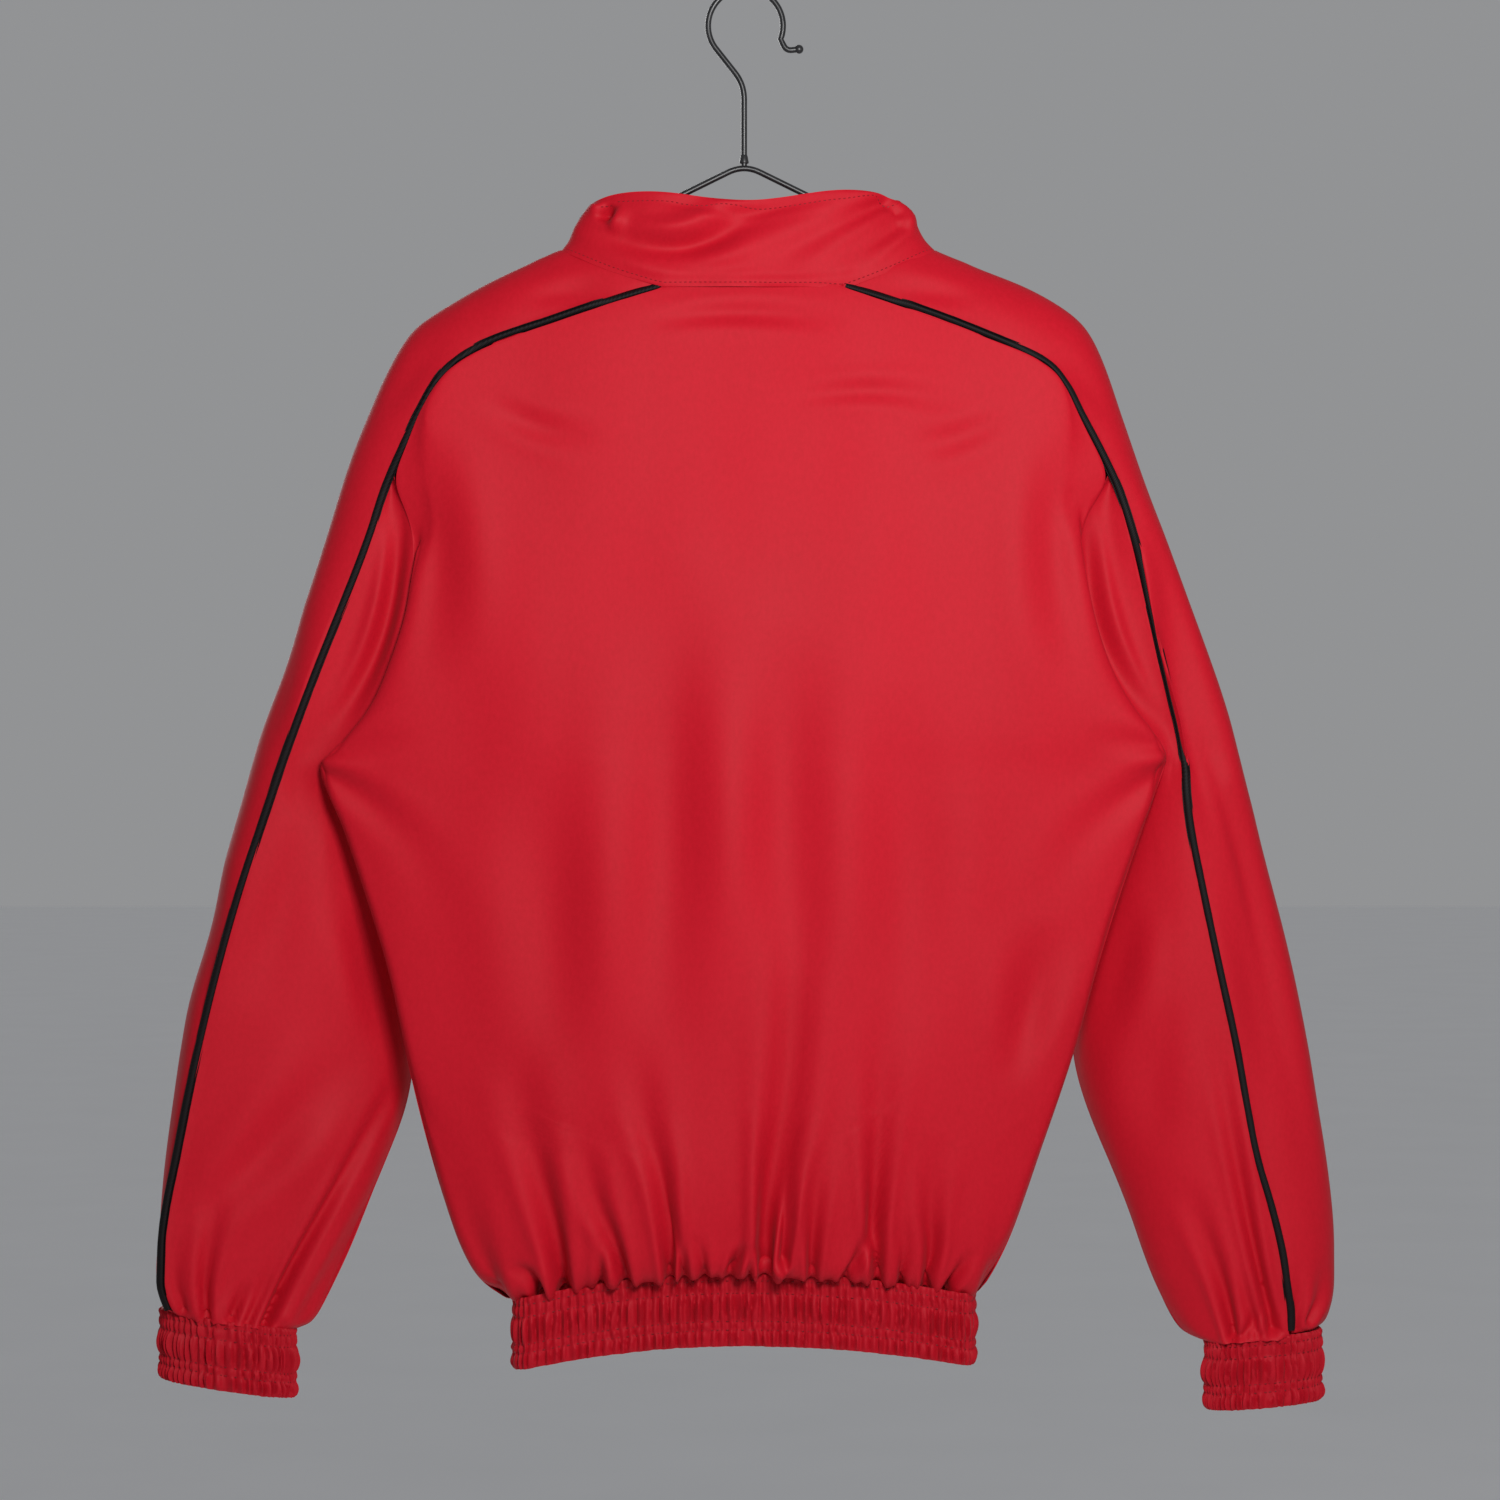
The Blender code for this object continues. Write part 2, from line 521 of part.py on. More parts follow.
def stitch(upper, lower):
    """Faces between two runs of points, which may differ in number."""
    if len(upper) == len(lower):
        return [(upper[i], lower[i], lower[i + 1], upper[i + 1]) for i in range(len(upper) - 1)]
    faces = []
    i = j = 0
    while i < len(upper) - 1 or j < len(lower) - 1:
        next_upper = (i + 1) / (len(upper) - 1) if i < len(upper) - 1 else 2.0
        next_lower = (j + 1) / (len(lower) - 1) if j < len(lower) - 1 else 2.0
        if next_upper < next_lower:
            faces.append((upper[i], lower[j], upper[i + 1]))
            i += 1
        else:
            faces.append((upper[i], lower[j], lower[j + 1]))
            j += 1
    return faces


# How far each row's end is drawn back from its rail, from the top row down
PLAIN_EDGE = (SEAM_GAP / 2,)
ARMHOLE_EDGE = (SEAM_GAP * 1.5,)
YOKE_EDGE = (PIPING_ROOM + SEAM_GAP * 2,)
PIPED_EDGE = (SEAM_GAP / 2, PIPING_ROOM)
FRONT_PIPED_EDGE = (SEAM_GAP / 2, PIPING_ROOM / 2, PIPING_ROOM)


class Panel:
    """One cut piece as rows of points on its outer face."""

    def __init__(self, name, rows, material, first=PLAIN_EDGE, last=PLAIN_EDGE, top=SEAM_GAP / 2,
                 bottom=SEAM_GAP / 2):
        self.name, self.rows, self.material = name, rows, material
        self.first, self.last, self.top, self.bottom = first, last, top, bottom
        self.index = []
        count = 0
        for row in rows:
            self.index.append(list(range(count, count + len(row))))
            count += len(row)
        self.points = [point for row in rows for point in row]

    def faces(self):
        found = []
        for upper, lower in zip(self.index, self.index[1:]):
            for face in stitch(upper, lower):
                found += split(face, self.points)
        return found

    def trimmed(self, normals):
        """The rows and their outward directions, with the edges drawn back from the seams."""
        rows = [[(point.copy(), normals[place_key(point)].normalized()) for point in row]
                for row in self.rows]
        for end, gaps in ((0, self.first), (-1, self.last)):
            rail_points = [row[end] for row in self.rows]
            for n, row in enumerate(rows):
                gap = gaps[min(n, len(gaps) - 1)] if n < len(rows) - 1 else SEAM_GAP / 2
                run = row if end == 0 else row[::-1]
                along = rail_points[min(n + 1, len(rows) - 1)] - rail_points[max(n - 1, 0)]
                inland = [point for point, _ in run[1:] if (point - run[0][0]).length > gap * 2]
                onward = ((inland or [run[1][0]])[0] - run[0][0]).normalized()
                slant = onward.cross(along.normalized()).length
                lean = CLOTH * max(0.0, run[0][1].dot(onward)) if gap > SEAM_GAP else 0.0
                run = draw_back(run, (gap + lean) / max(slant, 0.22))
                rows[n] = run if end == 0 else run[::-1]
        for edge, inner, gap in ((rows[0], rows[1], self.top), (rows[-1], rows[-2], self.bottom)):
            for i, (point, _) in enumerate(edge):
                other = inner[round(i * (len(inner) - 1) / (len(edge) - 1))][0]
                point += (other - point).normalized() * gap
        return [pair for row in rows for pair in row]


def draw_back(run, gap):
    """Slide the first points of a run along it, so that it starts a gap further on."""
    lengths = [0.0]
    for (before, _), (after, _) in zip(run, run[1:]):
        lengths.append(lengths[-1] + (after - before).length)
    gap = min(gap, lengths[-1] * 0.45)
    pitch = min(gap * 0.25, lengths[-1] * 0.05)
    moved = []
    for i, length in enumerate(lengths):
        spot = max(length, gap + i * pitch) if i < len(lengths) - 1 else length
        n = max(k for k in range(len(lengths) - 1) if lengths[k] <= spot)
        t = (spot - lengths[n]) / (lengths[n + 1] - lengths[n])
        moved.append((blend(run[n][0], run[n + 1][0], t),
                      blend(run[n][1], run[n + 1][1], t).normalized()))
    return moved


def place_key(point):
    return tuple(round(value, 5) for value in point)


def skin_normals(panels):
    """Outward directions shared by all panels, so that both walls of a seam lean the same way."""
    total = {}
    for panel in panels:
        for face in panel.faces():
            a, b, c = [panel.points[i] for i in face]
            out = (b - a).cross(c - a).normalized()
            for corner, one, other in ((a, b, c), (b, c, a), (c, a, b)):
                key = place_key(corner)
                share = (one - corner).angle(other - corner, 0.0)
                total[key] = total.get(key, Vector()) + out * share
    return total


def mesh_object(name, points, faces, material, collection):
    mesh = bpy.data.meshes.new(name)
    form = bmesh.new()
    verts = [form.verts.new(point) for point in points]
    for face in faces:
        form.faces.new([verts[i] for i in face])
    bmesh.ops.recalc_face_normals(form, faces=form.faces)
    form.to_mesh(mesh)
    form.free()
    mesh.shade_smooth()
    mesh.set_sharp_from_angle(angle=0.9)
    mesh.materials.append(material)
    result = bpy.data.objects.new(name, mesh)
    collection.objects.link(result)
    return result


def wall(panel, normals, collection):
    """Closed wall of cloth behind the rows of a panel."""
    pairs = panel.trimmed(normals)
    outer = [point for point, _ in pairs]
    inner = [point - out * CLOTH for point, out in pairs]
    count = len(outer)
    faces = panel.faces()
    faces += [tuple(i + count for i in reversed(face)) for face in panel.faces()]
    rim = (panel.index[0] + [row[-1] for row in panel.index[1:]] + panel.index[-1][-2::-1]
           + [row[0] for row in panel.index[-2:0:-1]])
    for a, b in zip(rim, rim[1:] + rim[:1]):
        faces.append((a, b, b + count, a + count))
    return mesh_object(panel.name, outer + inner, faces, panel.material, collection)


def piping(name, rail_points, normals, material, collection):
    """Round cord in the seam between a strip and its neighbour."""
    points = []
    for i, root in enumerate(rail_points):
        before, after = rail_points[max(i - 1, 0)], rail_points[min(i + 1, len(rail_points) - 1)]
        along = (after - before).normalized()
        out = normals[place_key(root)].normalized()
        out = (out - along * out.dot(along)).normalized()
        across = along.cross(out)
        centre = root.copy()
        if i == 0:
            centre += along * PIPING_ROOM * 1.7
        if i == len(rail_points) - 1:
            centre -= along * SEAM_GAP * 2
        for a, b in ((1, 0), (0, 1), (-1, 0), (0, -1)):
            points.append(centre + (out * a + across * b) * PIPING_RADIUS)
    faces = [(0, 1, 2, 3), tuple(len(points) - n for n in (1, 2, 3, 4))]
    for i in range(len(rail_points) - 1):
        for j in range(4):
            a, b = i * 4 + j, i * 4 + (j + 1) % 4
            faces.append((a, b, b + 4, a + 4))
    return mesh_object(name, points, faces, material, collection)


def ribbed_wall(name, outer_rows, inner_rows, closed, material, collection):
    """Shirred elastic: a finely ribbed outer face over a plain inner one."""
    points, faces, index = [], [], []
    for row in outer_rows + inner_rows:
        run = list(range(len(points), len(points) + len(row)))
        points += row
        index.append(run + run[:1] if closed else run)
    outer, inner = index[:len(outer_rows)], index[len(outer_rows):]
    for rows in (outer, inner):
        for upper, lower in zip(rows, rows[1:]):
            faces += stitch(upper, lower)
    for a, b in ((outer[0], inner[0]), (outer[-1], inner[-1])):
        faces += stitch(a, b)
    if not closed:
        for end in (0, -1):
            faces += stitch([row[end] for row in outer], [row[end] for row in inner])
    return mesh_object(name, points, faces, material, collection)


RIB_PROFILE = ((0.0, 0.45), (0.26, 0.40), (0.50, 1.0), (0.76, 0.40), (1.0, 0.50))


def cuff(side, material, collection):
    outer, inner = [], []
    height = CUFF_SEAM[side]["height"]
    columns = CUFF_RIBS * 2
    for level, swell in RIB_PROFILE:
        row = []
        for i in range(columns):
            rib = RIB_HEIGHT * swell * (i % 2)
            row.append(cuff_ring(side, 2 * pi * i / columns, SEAM_GAP + level * height, rib))
        outer.append(row)
    for level in (0.0, 1.0):
        inner.append([cuff_ring(side, 2 * pi * i / 24, SEAM_GAP + level * height, -CLOTH - 0.0004)
                      for i in range(24)])
    return ribbed_wall("cuff_" + SIDE_NAME[side], outer, inner, True, material, collection)


def band_point(turn, drop, out):
    """Point of the hem band: turn runs from 0 at the zip over the wearer's left to 1."""
    half_front = BAND_HALF_WIDTH - 0.010
    arc = pi * 0.018
    length = 4 * half_front + 2 * arc - 2 * ZIP_HALF_OPENING
    s = turn * length
    depth = BAND_HALF_DEPTH
    if turn > 0.5:
        mirrored = band_point(1 - turn, drop, out)
        return Vector((-mirrored.x, mirrored.y, mirrored.z))
    if s < half_front - ZIP_HALF_OPENING:
        x, y, nx, ny = ZIP_HALF_OPENING + s, -depth, 0.0, -1.0
    elif s < half_front - ZIP_HALF_OPENING + arc:
        angle = -pi / 2 + pi * (s - half_front + ZIP_HALF_OPENING) / arc
        x, y, nx, ny = half_front + 0.010 * cos(angle), depth * sin(angle), cos(angle), sin(angle)
    else:
        x, y, nx, ny = length / 2 - s, depth, 0.0, 1.0
    flat = 1 - (x / BAND_HALF_WIDTH) ** 2
    y += (0.0 if abs(ny) < 0.99 else 0.0012 * flat * (1 if y > 0 else -1))
    rise = HEM_RISE * max(0.0, flat) * (1 - 0.12 * drop / BAND_HEIGHT)
    return Vector((x + nx * out, y + ny * out, HEM_SEAM_Z + rise - 2 * SEAM_GAP - drop))


def hem_band(material, collection):
    columns = BAND_RIBS * 2
    outer = []
    for level, swell in RIB_PROFILE:
        outer.append([band_point(i / columns, level * BAND_HEIGHT, RIB_HEIGHT * swell * (i % 2))
                      for i in range(columns + 1)])
    inner = [[band_point(i / 50, level * BAND_HEIGHT, -CLOTH - 0.0004) for i in range(51)]
             for level in (0.0, 1.0)]
    return ribbed_wall("hem_band", outer, inner, False, material, collection)


# Zip

def strip_solid(name, centre_line, x_from, x_to, outside, inside, material, collection):
    """Flat strip that follows the centre front; outside and inside are depths behind the cloth."""
    points = []
    for i, point in enumerate(centre_line):
        along = centre_line[min(i + 1, len(centre_line) - 1)] - centre_line[max(i - 1, 0)]
        inward = Vector((0.0, -along.z, along.y)).normalized()
        for x, depth in ((x_from, outside), (x_to, outside), (x_to, inside), (x_from, inside)):
            points.append(Vector((x, point.y, point.z)) + inward * depth)
    last = len(points)
    faces = [(0, 1, 2, 3), (last - 1, last - 2, last - 3, last - 4)]
    for i in range(len(centre_line) - 1):
        for j in range(4):
            a, b = i * 4 + j, i * 4 + (j + 1) % 4
            faces.append((a, b, b + 4, a + 4))
    return mesh_object(name, points, faces, material, collection)


def block(name, size, centre, material, collection, bevel=0.0004):
    bpy.ops.mesh.primitive_cube_add(size=1, location=centre)
    solid = bpy.context.object
    solid.name = name
    solid.scale = size
    bpy.ops.object.transform_apply(location=False, rotation=False, scale=True)
    if bevel:
        edge = solid.modifiers.new("edge", 'BEVEL')
        edge.width = bevel
        edge.segments = 1
    solid.data.materials.append(material)
    for owner in list(solid.users_collection):
        owner.objects.unlink(solid)
    collection.objects.link(solid)
    return solid


def wire(name, route, cyclic, material, collection):
    """Round wire through a route of points."""
    data = bpy.data.curves.new(name, 'CURVE')
    data.dimensions = '3D'
    spline = data.splines.new('POLY')
    spline.points.add(len(route) - 1)
    for point, place in zip(spline.points, route):
        point.co = (*place, 1.0)
    spline.use_cyclic_u = cyclic
    data.bevel_depth = WIRE_RADIUS
    data.bevel_resolution = 2
    data.use_fill_caps = not cyclic
    data.materials.append(material)
    result = bpy.data.objects.new(name, data)
    collection.objects.link(result)
    return result


HANGER_APEX_Z = -0.1135
HANGER_HALF_WIDTH = 0.212
ARM_SLOPE = 0.485
HANGER_BAR_Z = -0.2560
HOOK_RADIUS = 0.025


def rounded(before, corner, after, radius, steps):
    """Round the corner of a wire's route."""
    start = corner + (before - corner).normalized() * radius
    end = corner + (after - corner).normalized() * radius
    spots = [i / steps for i in range(steps + 1)]
    return [start * (1 - t) ** 2 + corner * 2 * t * (1 - t) + end * t * t for t in spots]


def hanger(material, collection):
    apex = Vector((0, 0, HANGER_APEX_Z - WIRE_RADIUS))
    tips = {s: Vector((s * HANGER_HALF_WIDTH, 0, apex.z - ARM_SLOPE * HANGER_HALF_WIDTH))
            for s in (LEFT, RIGHT)}
    bar = {s: Vector((s * (HANGER_HALF_WIDTH - 0.012), 0, HANGER_BAR_Z)) for s in (LEFT, RIGHT)}
    route = rounded(tips[RIGHT], apex, tips[LEFT], 0.012, 4)
    route += rounded(apex, tips[LEFT], bar[LEFT], 0.010, 3)
    route += rounded(tips[LEFT], bar[LEFT], bar[RIGHT], 0.010, 3)
    route += rounded(bar[LEFT], bar[RIGHT], tips[RIGHT], 0.010, 3)
    route += rounded(bar[RIGHT], tips[RIGHT], apex, 0.010, 3)
    wire("hanger_frame", route, True, material, collection)
    ring = HOOK_RADIUS
    centre = Vector((-0.0010, 0, -ring + WIRE_RADIUS))
    foot = route[2].z + WIRE_RADIUS + SEAM_GAP
    stem = [Vector((0, 0, foot)), Vector((0, 0, -0.066)), Vector((0.0016, 0, -0.058))]
    turns = [pi * (-0.22 + 1.36 * i / 14) for i in range(15)]
    hook = [centre + Vector((ring * cos(a), 0, ring * sin(a))) for a in turns]
    lip = [hook[-1] + Vector((-0.0045, 0, -0.0060)), hook[-1] + Vector((-0.0130, 0, -0.0050))]
    wire("hanger_hook", stem + hook + lip, False, material, collection)


def finish(name, colour, roughness, metallic=0.0):
    material = bpy.data.materials.new(name)
    material.use_nodes = True
    shader = material.node_tree.nodes["Principled BSDF"]
    shader.inputs["Base Color"].default_value = (*colour, 1.0)
    shader.inputs["Roughness"].default_value = roughness
    shader.inputs["Metallic"].default_value = metallic
    return material


def build_zip(centre_line, tape, tooth, metal, collection):
    strip_solid("zip_chain", centre_line, -CHAIN_HALF_WIDTH, CHAIN_HALF_WIDTH, 0.0004, 0.0026, tooth,
                collection)
    for side in (LEFT, RIGHT):
        inner = side * (CHAIN_HALF_WIDTH + SEAM_GAP)
        outer = side * (CHAIN_HALF_WIDTH + TAPE_WIDTH)
        strip_solid("zip_tape_" + SIDE_NAME[side], centre_line, inner, outer, CLOTH + 0.0009,
                    CLOTH + 0.0017, tape, collection)
    head = centre_line[1]
    block("zip_slider", (0.0070, 0.0030, 0.0110), (0, head.y - 0.0016, head.z), metal, collection)
    pivot = Vector((0, head.y - 0.0040, head.z + 0.0030))
    tab = block("zip_pull_tab", (0.0058, TAB_THICKNESS, TAB_LENGTH),
                pivot + Vector((0, 0, (TAB_THICKNESS - TAB_LENGTH) / 2)), metal, collection)
    tab.data.transform(Matrix.Translation(tab.location - pivot))
    tab.location = pivot
    foot = centre_line[-1]
    block("zip_box", (0.0080, 0.0024, 0.0090), (0, foot.y - 0.0011, foot.z + 0.0050), tooth, collection)


def main():
    for old in list(bpy.data.objects):
        bpy.data.objects.remove(old)
    jacket = bpy.data.collections.new("training_jacket")
    bpy.context.scene.collection.children.link(jacket)
    red = finish("red_tricot", (0.56, 0.012, 0.026), 0.55)
    black = finish("black_piping", (0.012, 0.008, 0.010), 0.5)
    painted = finish("black_wire", (0.015, 0.015, 0.016), 0.35)
    tape = finish("red_zip_tape", (0.50, 0.012, 0.024), 0.6)
    tooth = finish("zip_teeth", (0.015, 0.014, 0.016), 0.4)
    metal = finish("zip_metal", (0.45, 0.45, 0.46), 0.3, 1.0)

    panels = []
    yoke = len(YOKE_ROWS)
    armhole = ARMHOLE_EDGE * len(ARMHOLE_ROWS) + PLAIN_EDGE
    back_edge = PLAIN_EDGE + YOKE_EDGE * (yoke - 1) + armhole
    front_edge = FRONT_PIPED_EDGE[:2] + YOKE_EDGE * (yoke - 2) + armhole
    back = Panel("back_panel", back_rows(), red, back_edge, back_edge)
    panels.append(back)
    rails, strips = {}, {}
    for side in (LEFT, RIGHT):
        word = SIDE_NAME[side]
        strip, sleeve_back, sleeve_front = sleeve_sections(side)
        rails["piping_back_" + word] = [row[0] for row in strip[1:-1]]
        rails["piping_front_" + word] = [row[-1] for row in strip[2:-1]]
        strip_edges = (PIPED_EDGE, FRONT_PIPED_EDGE)
        sleeve_edges = (ARMHOLE_EDGE, PIPED_EDGE[1:])
        front_edges = (front_edge, PLAIN_EDGE)
        if side == LEFT:
            strip = [list(reversed(row)) for row in strip]
            sleeve_back = [list(reversed(row)) for row in sleeve_back]
            sleeve_front = [list(reversed(row)) for row in sleeve_front]
            strip_edges = strip_edges[::-1]
            sleeve_edges = sleeve_edges[::-1]
            front_edges = front_edges[::-1]
        strips[side] = strip
        panels.append(Panel("shoulder_strip_" + word, strip, red, *strip_edges))
        panels.append(Panel("sleeve_back_" + word, sleeve_back, red, *sleeve_edges))
        panels.append(Panel("sleeve_front_" + word, sleeve_front, red, *sleeve_edges[::-1]))
        panels.append(Panel("front_panel_" + word, front_rows(side), red, *front_edges))
    neck = []
    fronts = {side: next(p for p in panels if p.name == "front_panel_" + SIDE_NAME[side]).rows
              for side in (LEFT, RIGHT)}
    for row in reversed([row for row in fronts[LEFT] if row[0].z >= FRONT_NECK_Z - 0.0001]):
        neck.append(row[0])
    neck += strips[LEFT][0]
    neck += back.rows[0][1:-1]
    neck += strips[RIGHT][0]
    for row in fronts[RIGHT]:
        if row[-1].z >= FRONT_NECK_Z - 0.0001:
            neck.append(row[-1])
    collar = Panel("collar", collar_rows(neck), red, top=0.0)
    panels.append(collar)
    normals = skin_normals(panels)
    for panel in panels:
        wall(panel, normals, jacket)
    for name, points in rails.items():
        piping(name, points, normals, black, jacket)
    hem_band(red, jacket)
    for side in (LEFT, RIGHT):
        cuff(side, red, jacket)
    centre_line = [row[0] for row in collar.rows]
    centre_line += [row[0] for row in fronts[LEFT] if row[0].z < FRONT_NECK_Z - 0.0001]
    centre_line += [band_point(0.0, level * BAND_HEIGHT, 0.0) for level in (0.1, 1.0)]
    build_zip(centre_line, tape, tooth, metal, jacket)
    hanger(painted, jacket)


main()
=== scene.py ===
import bpy
import bmesh
import numpy as np
from math import ceil, cos, pi, radians, sin, sqrt
from mathutils import Matrix, Vector, noise
from mathutils.bvhtree import BVHTree


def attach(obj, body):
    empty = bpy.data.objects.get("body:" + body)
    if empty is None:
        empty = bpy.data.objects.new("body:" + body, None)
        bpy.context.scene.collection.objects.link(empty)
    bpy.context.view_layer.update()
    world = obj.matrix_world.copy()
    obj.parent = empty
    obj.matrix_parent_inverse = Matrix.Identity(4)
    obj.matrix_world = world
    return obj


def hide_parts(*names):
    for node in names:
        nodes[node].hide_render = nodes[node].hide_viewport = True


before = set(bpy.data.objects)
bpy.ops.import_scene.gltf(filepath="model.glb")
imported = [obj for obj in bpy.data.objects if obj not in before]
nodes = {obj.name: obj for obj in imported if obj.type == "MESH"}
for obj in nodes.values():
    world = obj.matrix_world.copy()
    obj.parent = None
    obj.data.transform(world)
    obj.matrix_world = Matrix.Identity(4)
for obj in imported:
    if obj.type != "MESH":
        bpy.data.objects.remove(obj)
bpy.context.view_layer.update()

sideNames = {1: "left", -1: "right"}   # the wearer's left is +X


# shader maths: a socket that takes part in Python expressions

class Wire:
    def __init__(self, shader, socket):
        self.shader, self.socket = shader, socket

    def maths(self, operation, *values):
        return self.shader.node('ShaderNodeMath', {'operation': operation}, dict(enumerate(values)))

    def __add__(self, other):
        return self.maths('ADD', self, other)

    def __mul__(self, other):
        return self.maths('MULTIPLY', self, other)


class Shader:
    def __init__(self, name, roughness, metallic=0.0):
        self.material = bpy.data.materials.new(name)
        self.material.use_nodes = True
        self.tree = self.material.node_tree
        self.surface = self.tree.nodes["Principled BSDF"]
        self.surface.inputs["Roughness"].default_value = roughness
        self.surface.inputs["Metallic"].default_value = metallic

    def plug(self, socket, value):
        if isinstance(value, Wire):
            self.tree.links.new(value.socket, socket)
        else:
            socket.default_value = value

    def node(self, kind, settings=None, values=None, out=0):
        made = self.tree.nodes.new(kind)
        for name, value in (settings or {}).items():
            if name == 'stops':
                ramp = made.color_ramp
                while len(ramp.elements) < len(value):
                    ramp.elements.new(0.5)
                for element, (place, colour) in zip(ramp.elements, value):
                    element.position = place
                    element.color = (*colour, 1.0)
            else:
                setattr(made, name, value)
        for key, value in (values or {}).items():
            self.plug(made.inputs[key], value)
        return Wire(self, made.outputs[out])

    def place(self, scale):
        spot = self.node('ShaderNodeTexCoord', out="Object")
        return self.node('ShaderNodeMapping', None, {"Vector": spot, "Scale": scale})

    def grain(self, scale, detail=2.0):
        return self.node('ShaderNodeTexNoise', None,
                         {"Vector": self.place(scale), "Scale": 1.0, "Detail": detail})

    def bump(self, height, distance, strength):
        out = self.node('ShaderNodeBump', None,
                        {"Height": height, "Distance": distance, "Strength": strength})
        self.plug(self.surface.inputs["Normal"], out)

    def feed(self, name, value):
        self.plug(self.surface.inputs[name], value)


# finishes

unscaled = (1.0, 1.0, 1.0)
tricotLook = dict(deep=(0.400, 0.0022, 0.0105), lit=(0.475, 0.0034, 0.0150), roughness=0.60, sheen=0.04,
                  waleWidth=0.0008, courseHeight=0.0007, bandScale=0.31, relief=0.00007)


def tricot(name, dim=1.0):
    look = tricotLook
    cloth = Shader(name, look["roughness"])
    patchy = cloth.grain((14.0, 14.0, 7.0), detail=1.0)
    fine = cloth.grain((420.0, 420.0, 260.0), detail=1.0)
    shade = patchy * 0.45 + fine * 0.55
    # the dimming factor darkens the whole colour: painted shade, used for the shirred hem band and cuffs
    stops = [(0.20, tuple(value * dim for value in look["deep"])),
             (0.80, tuple(value * dim for value in look["lit"]))]
    cloth.feed("Base Color", cloth.node('ShaderNodeValToRGB', {'stops': stops}, {"Fac": shade}))
    wales = cloth.node('ShaderNodeTexWave', {'wave_type': 'BANDS', 'bands_direction': 'X'},
                       {"Vector": cloth.place(unscaled), "Scale": look["bandScale"] / look["waleWidth"],
                        "Distortion": 0.6, "Detail": 1.0, "Detail Scale": 2.0}, out="Fac")
    courses = cloth.node('ShaderNodeTexWave', {'wave_type': 'BANDS', 'bands_direction': 'Z'},
                         {"Vector": cloth.place(unscaled), "Scale": look["bandScale"] / look["courseHeight"],
                          "Distortion": 1.2, "Detail": 1.0, "Detail Scale": 2.0}, out="Fac")
    cloth.feed("Roughness", patchy * 0.10 + (look["roughness"] - 0.05))
    cloth.bump(wales * 0.4 + courses * 0.2 + fine * 0.5, look["relief"], 0.4)
    cloth.surface.inputs["Sheen Weight"].default_value = look["sheen"]
    cloth.surface.inputs["Sheen Roughness"].default_value = 0.45
    cloth.surface.inputs["Sheen Tint"].default_value = (1.0, 0.45, 0.48, 1.0)
    cloth.surface.inputs["Specular IOR Level"].default_value = 0.15
    return cloth.material


def pipingFabric():
    cord = Shader("blackPiping", 0.6)
    weave = cord.node('ShaderNodeTexWave', {'wave_type': 'BANDS', 'bands_direction': 'DIAGONAL'},
                      {"Vector": cord.place(unscaled), "Scale": 330.0, "Distortion": 2.0, "Detail": 1.0},
                      out="Fac")
    dust = cord.grain((300.0, 300.0, 300.0))
    stops = [(0.2, (0.0016, 0.0009, 0.0012)), (0.8, (0.0050, 0.0026, 0.0034))]
    mixed = weave * 0.6 + dust * 0.4
    cord.feed("Base Color", cord.node('ShaderNodeValToRGB', {'stops': stops}, {"Fac": mixed}))
    cord.bump(weave, 0.00015, 0.6)
    cord.surface.inputs["Specular IOR Level"].default_value = 0.16
    return cord.material


def threadLook(name, colour):
    thread = Shader(name, 0.5)
    twist = thread.grain((900.0, 900.0, 900.0))
    stops = [(0.3, tuple(value * 0.7 for value in colour)), (0.7, colour)]
    thread.feed("Base Color", thread.node('ShaderNodeValToRGB', {'stops': stops}, {"Fac": twist}))
    return thread.material


def tapeWeave():
    tape = Shader("zipTapeWeave", 0.62)
    rows = tape.node('ShaderNodeTexWave', {'wave_type': 'BANDS', 'bands_direction': 'Z'},
                     {"Vector": tape.place(unscaled), "Scale": 380.0, "Distortion": 0.8}, out="Fac")
    stops = [(0.1, (0.30, 0.005, 0.011)), (0.9, (0.47, 0.010, 0.022))]
    tape.feed("Base Color", tape.node('ShaderNodeValToRGB', {'stops': stops}, {"Fac": rows}))
    tape.bump(rows, 0.0002, 0.6)
    return tape.material


def toothPlastic():
    tooth = Shader("zipToothPlastic", 0.38)
    worn = tooth.grain((240.0, 240.0, 240.0))
    stops = [(0.3, (0.010, 0.009, 0.010)), (0.8, (0.030, 0.028, 0.031))]
    tooth.feed("Base Color", tooth.node('ShaderNodeValToRGB', {'stops': stops}, {"Fac": worn}))
    tooth.feed("Roughness", worn * 0.2 + 0.28)
    return tooth.material


def sliderMetal():
    metal = Shader("sliderMetal", 0.3, 1.0)
    brushed = metal.grain((900.0, 900.0, 60.0), detail=3.0)
    stops = [(0.2, (0.36, 0.36, 0.37)), (0.8, (0.58, 0.58, 0.60))]
    metal.feed("Base Color", metal.node('ShaderNodeValToRGB', {'stops': stops}, {"Fac": brushed}))
    metal.feed("Roughness", brushed * 0.18 + 0.22)
    metal.bump(brushed, 0.00004, 0.4)
    return metal.material


def wireEnamel():
    enamel = Shader("blackWireEnamel", 0.32)
    flow = enamel.grain((140.0, 140.0, 50.0), detail=3.0)
    stops = [(0.3, (0.0060, 0.0062, 0.0070)), (0.75, (0.0150, 0.0150, 0.0165))]
    enamel.feed("Base Color", enamel.node('ShaderNodeValToRGB', {'stops': stops}, {"Fac": flow}))
    enamel.feed("Roughness", flow * 0.22 + 0.22)
    enamel.bump(flow, 0.00012, 0.35)
    return enamel.material


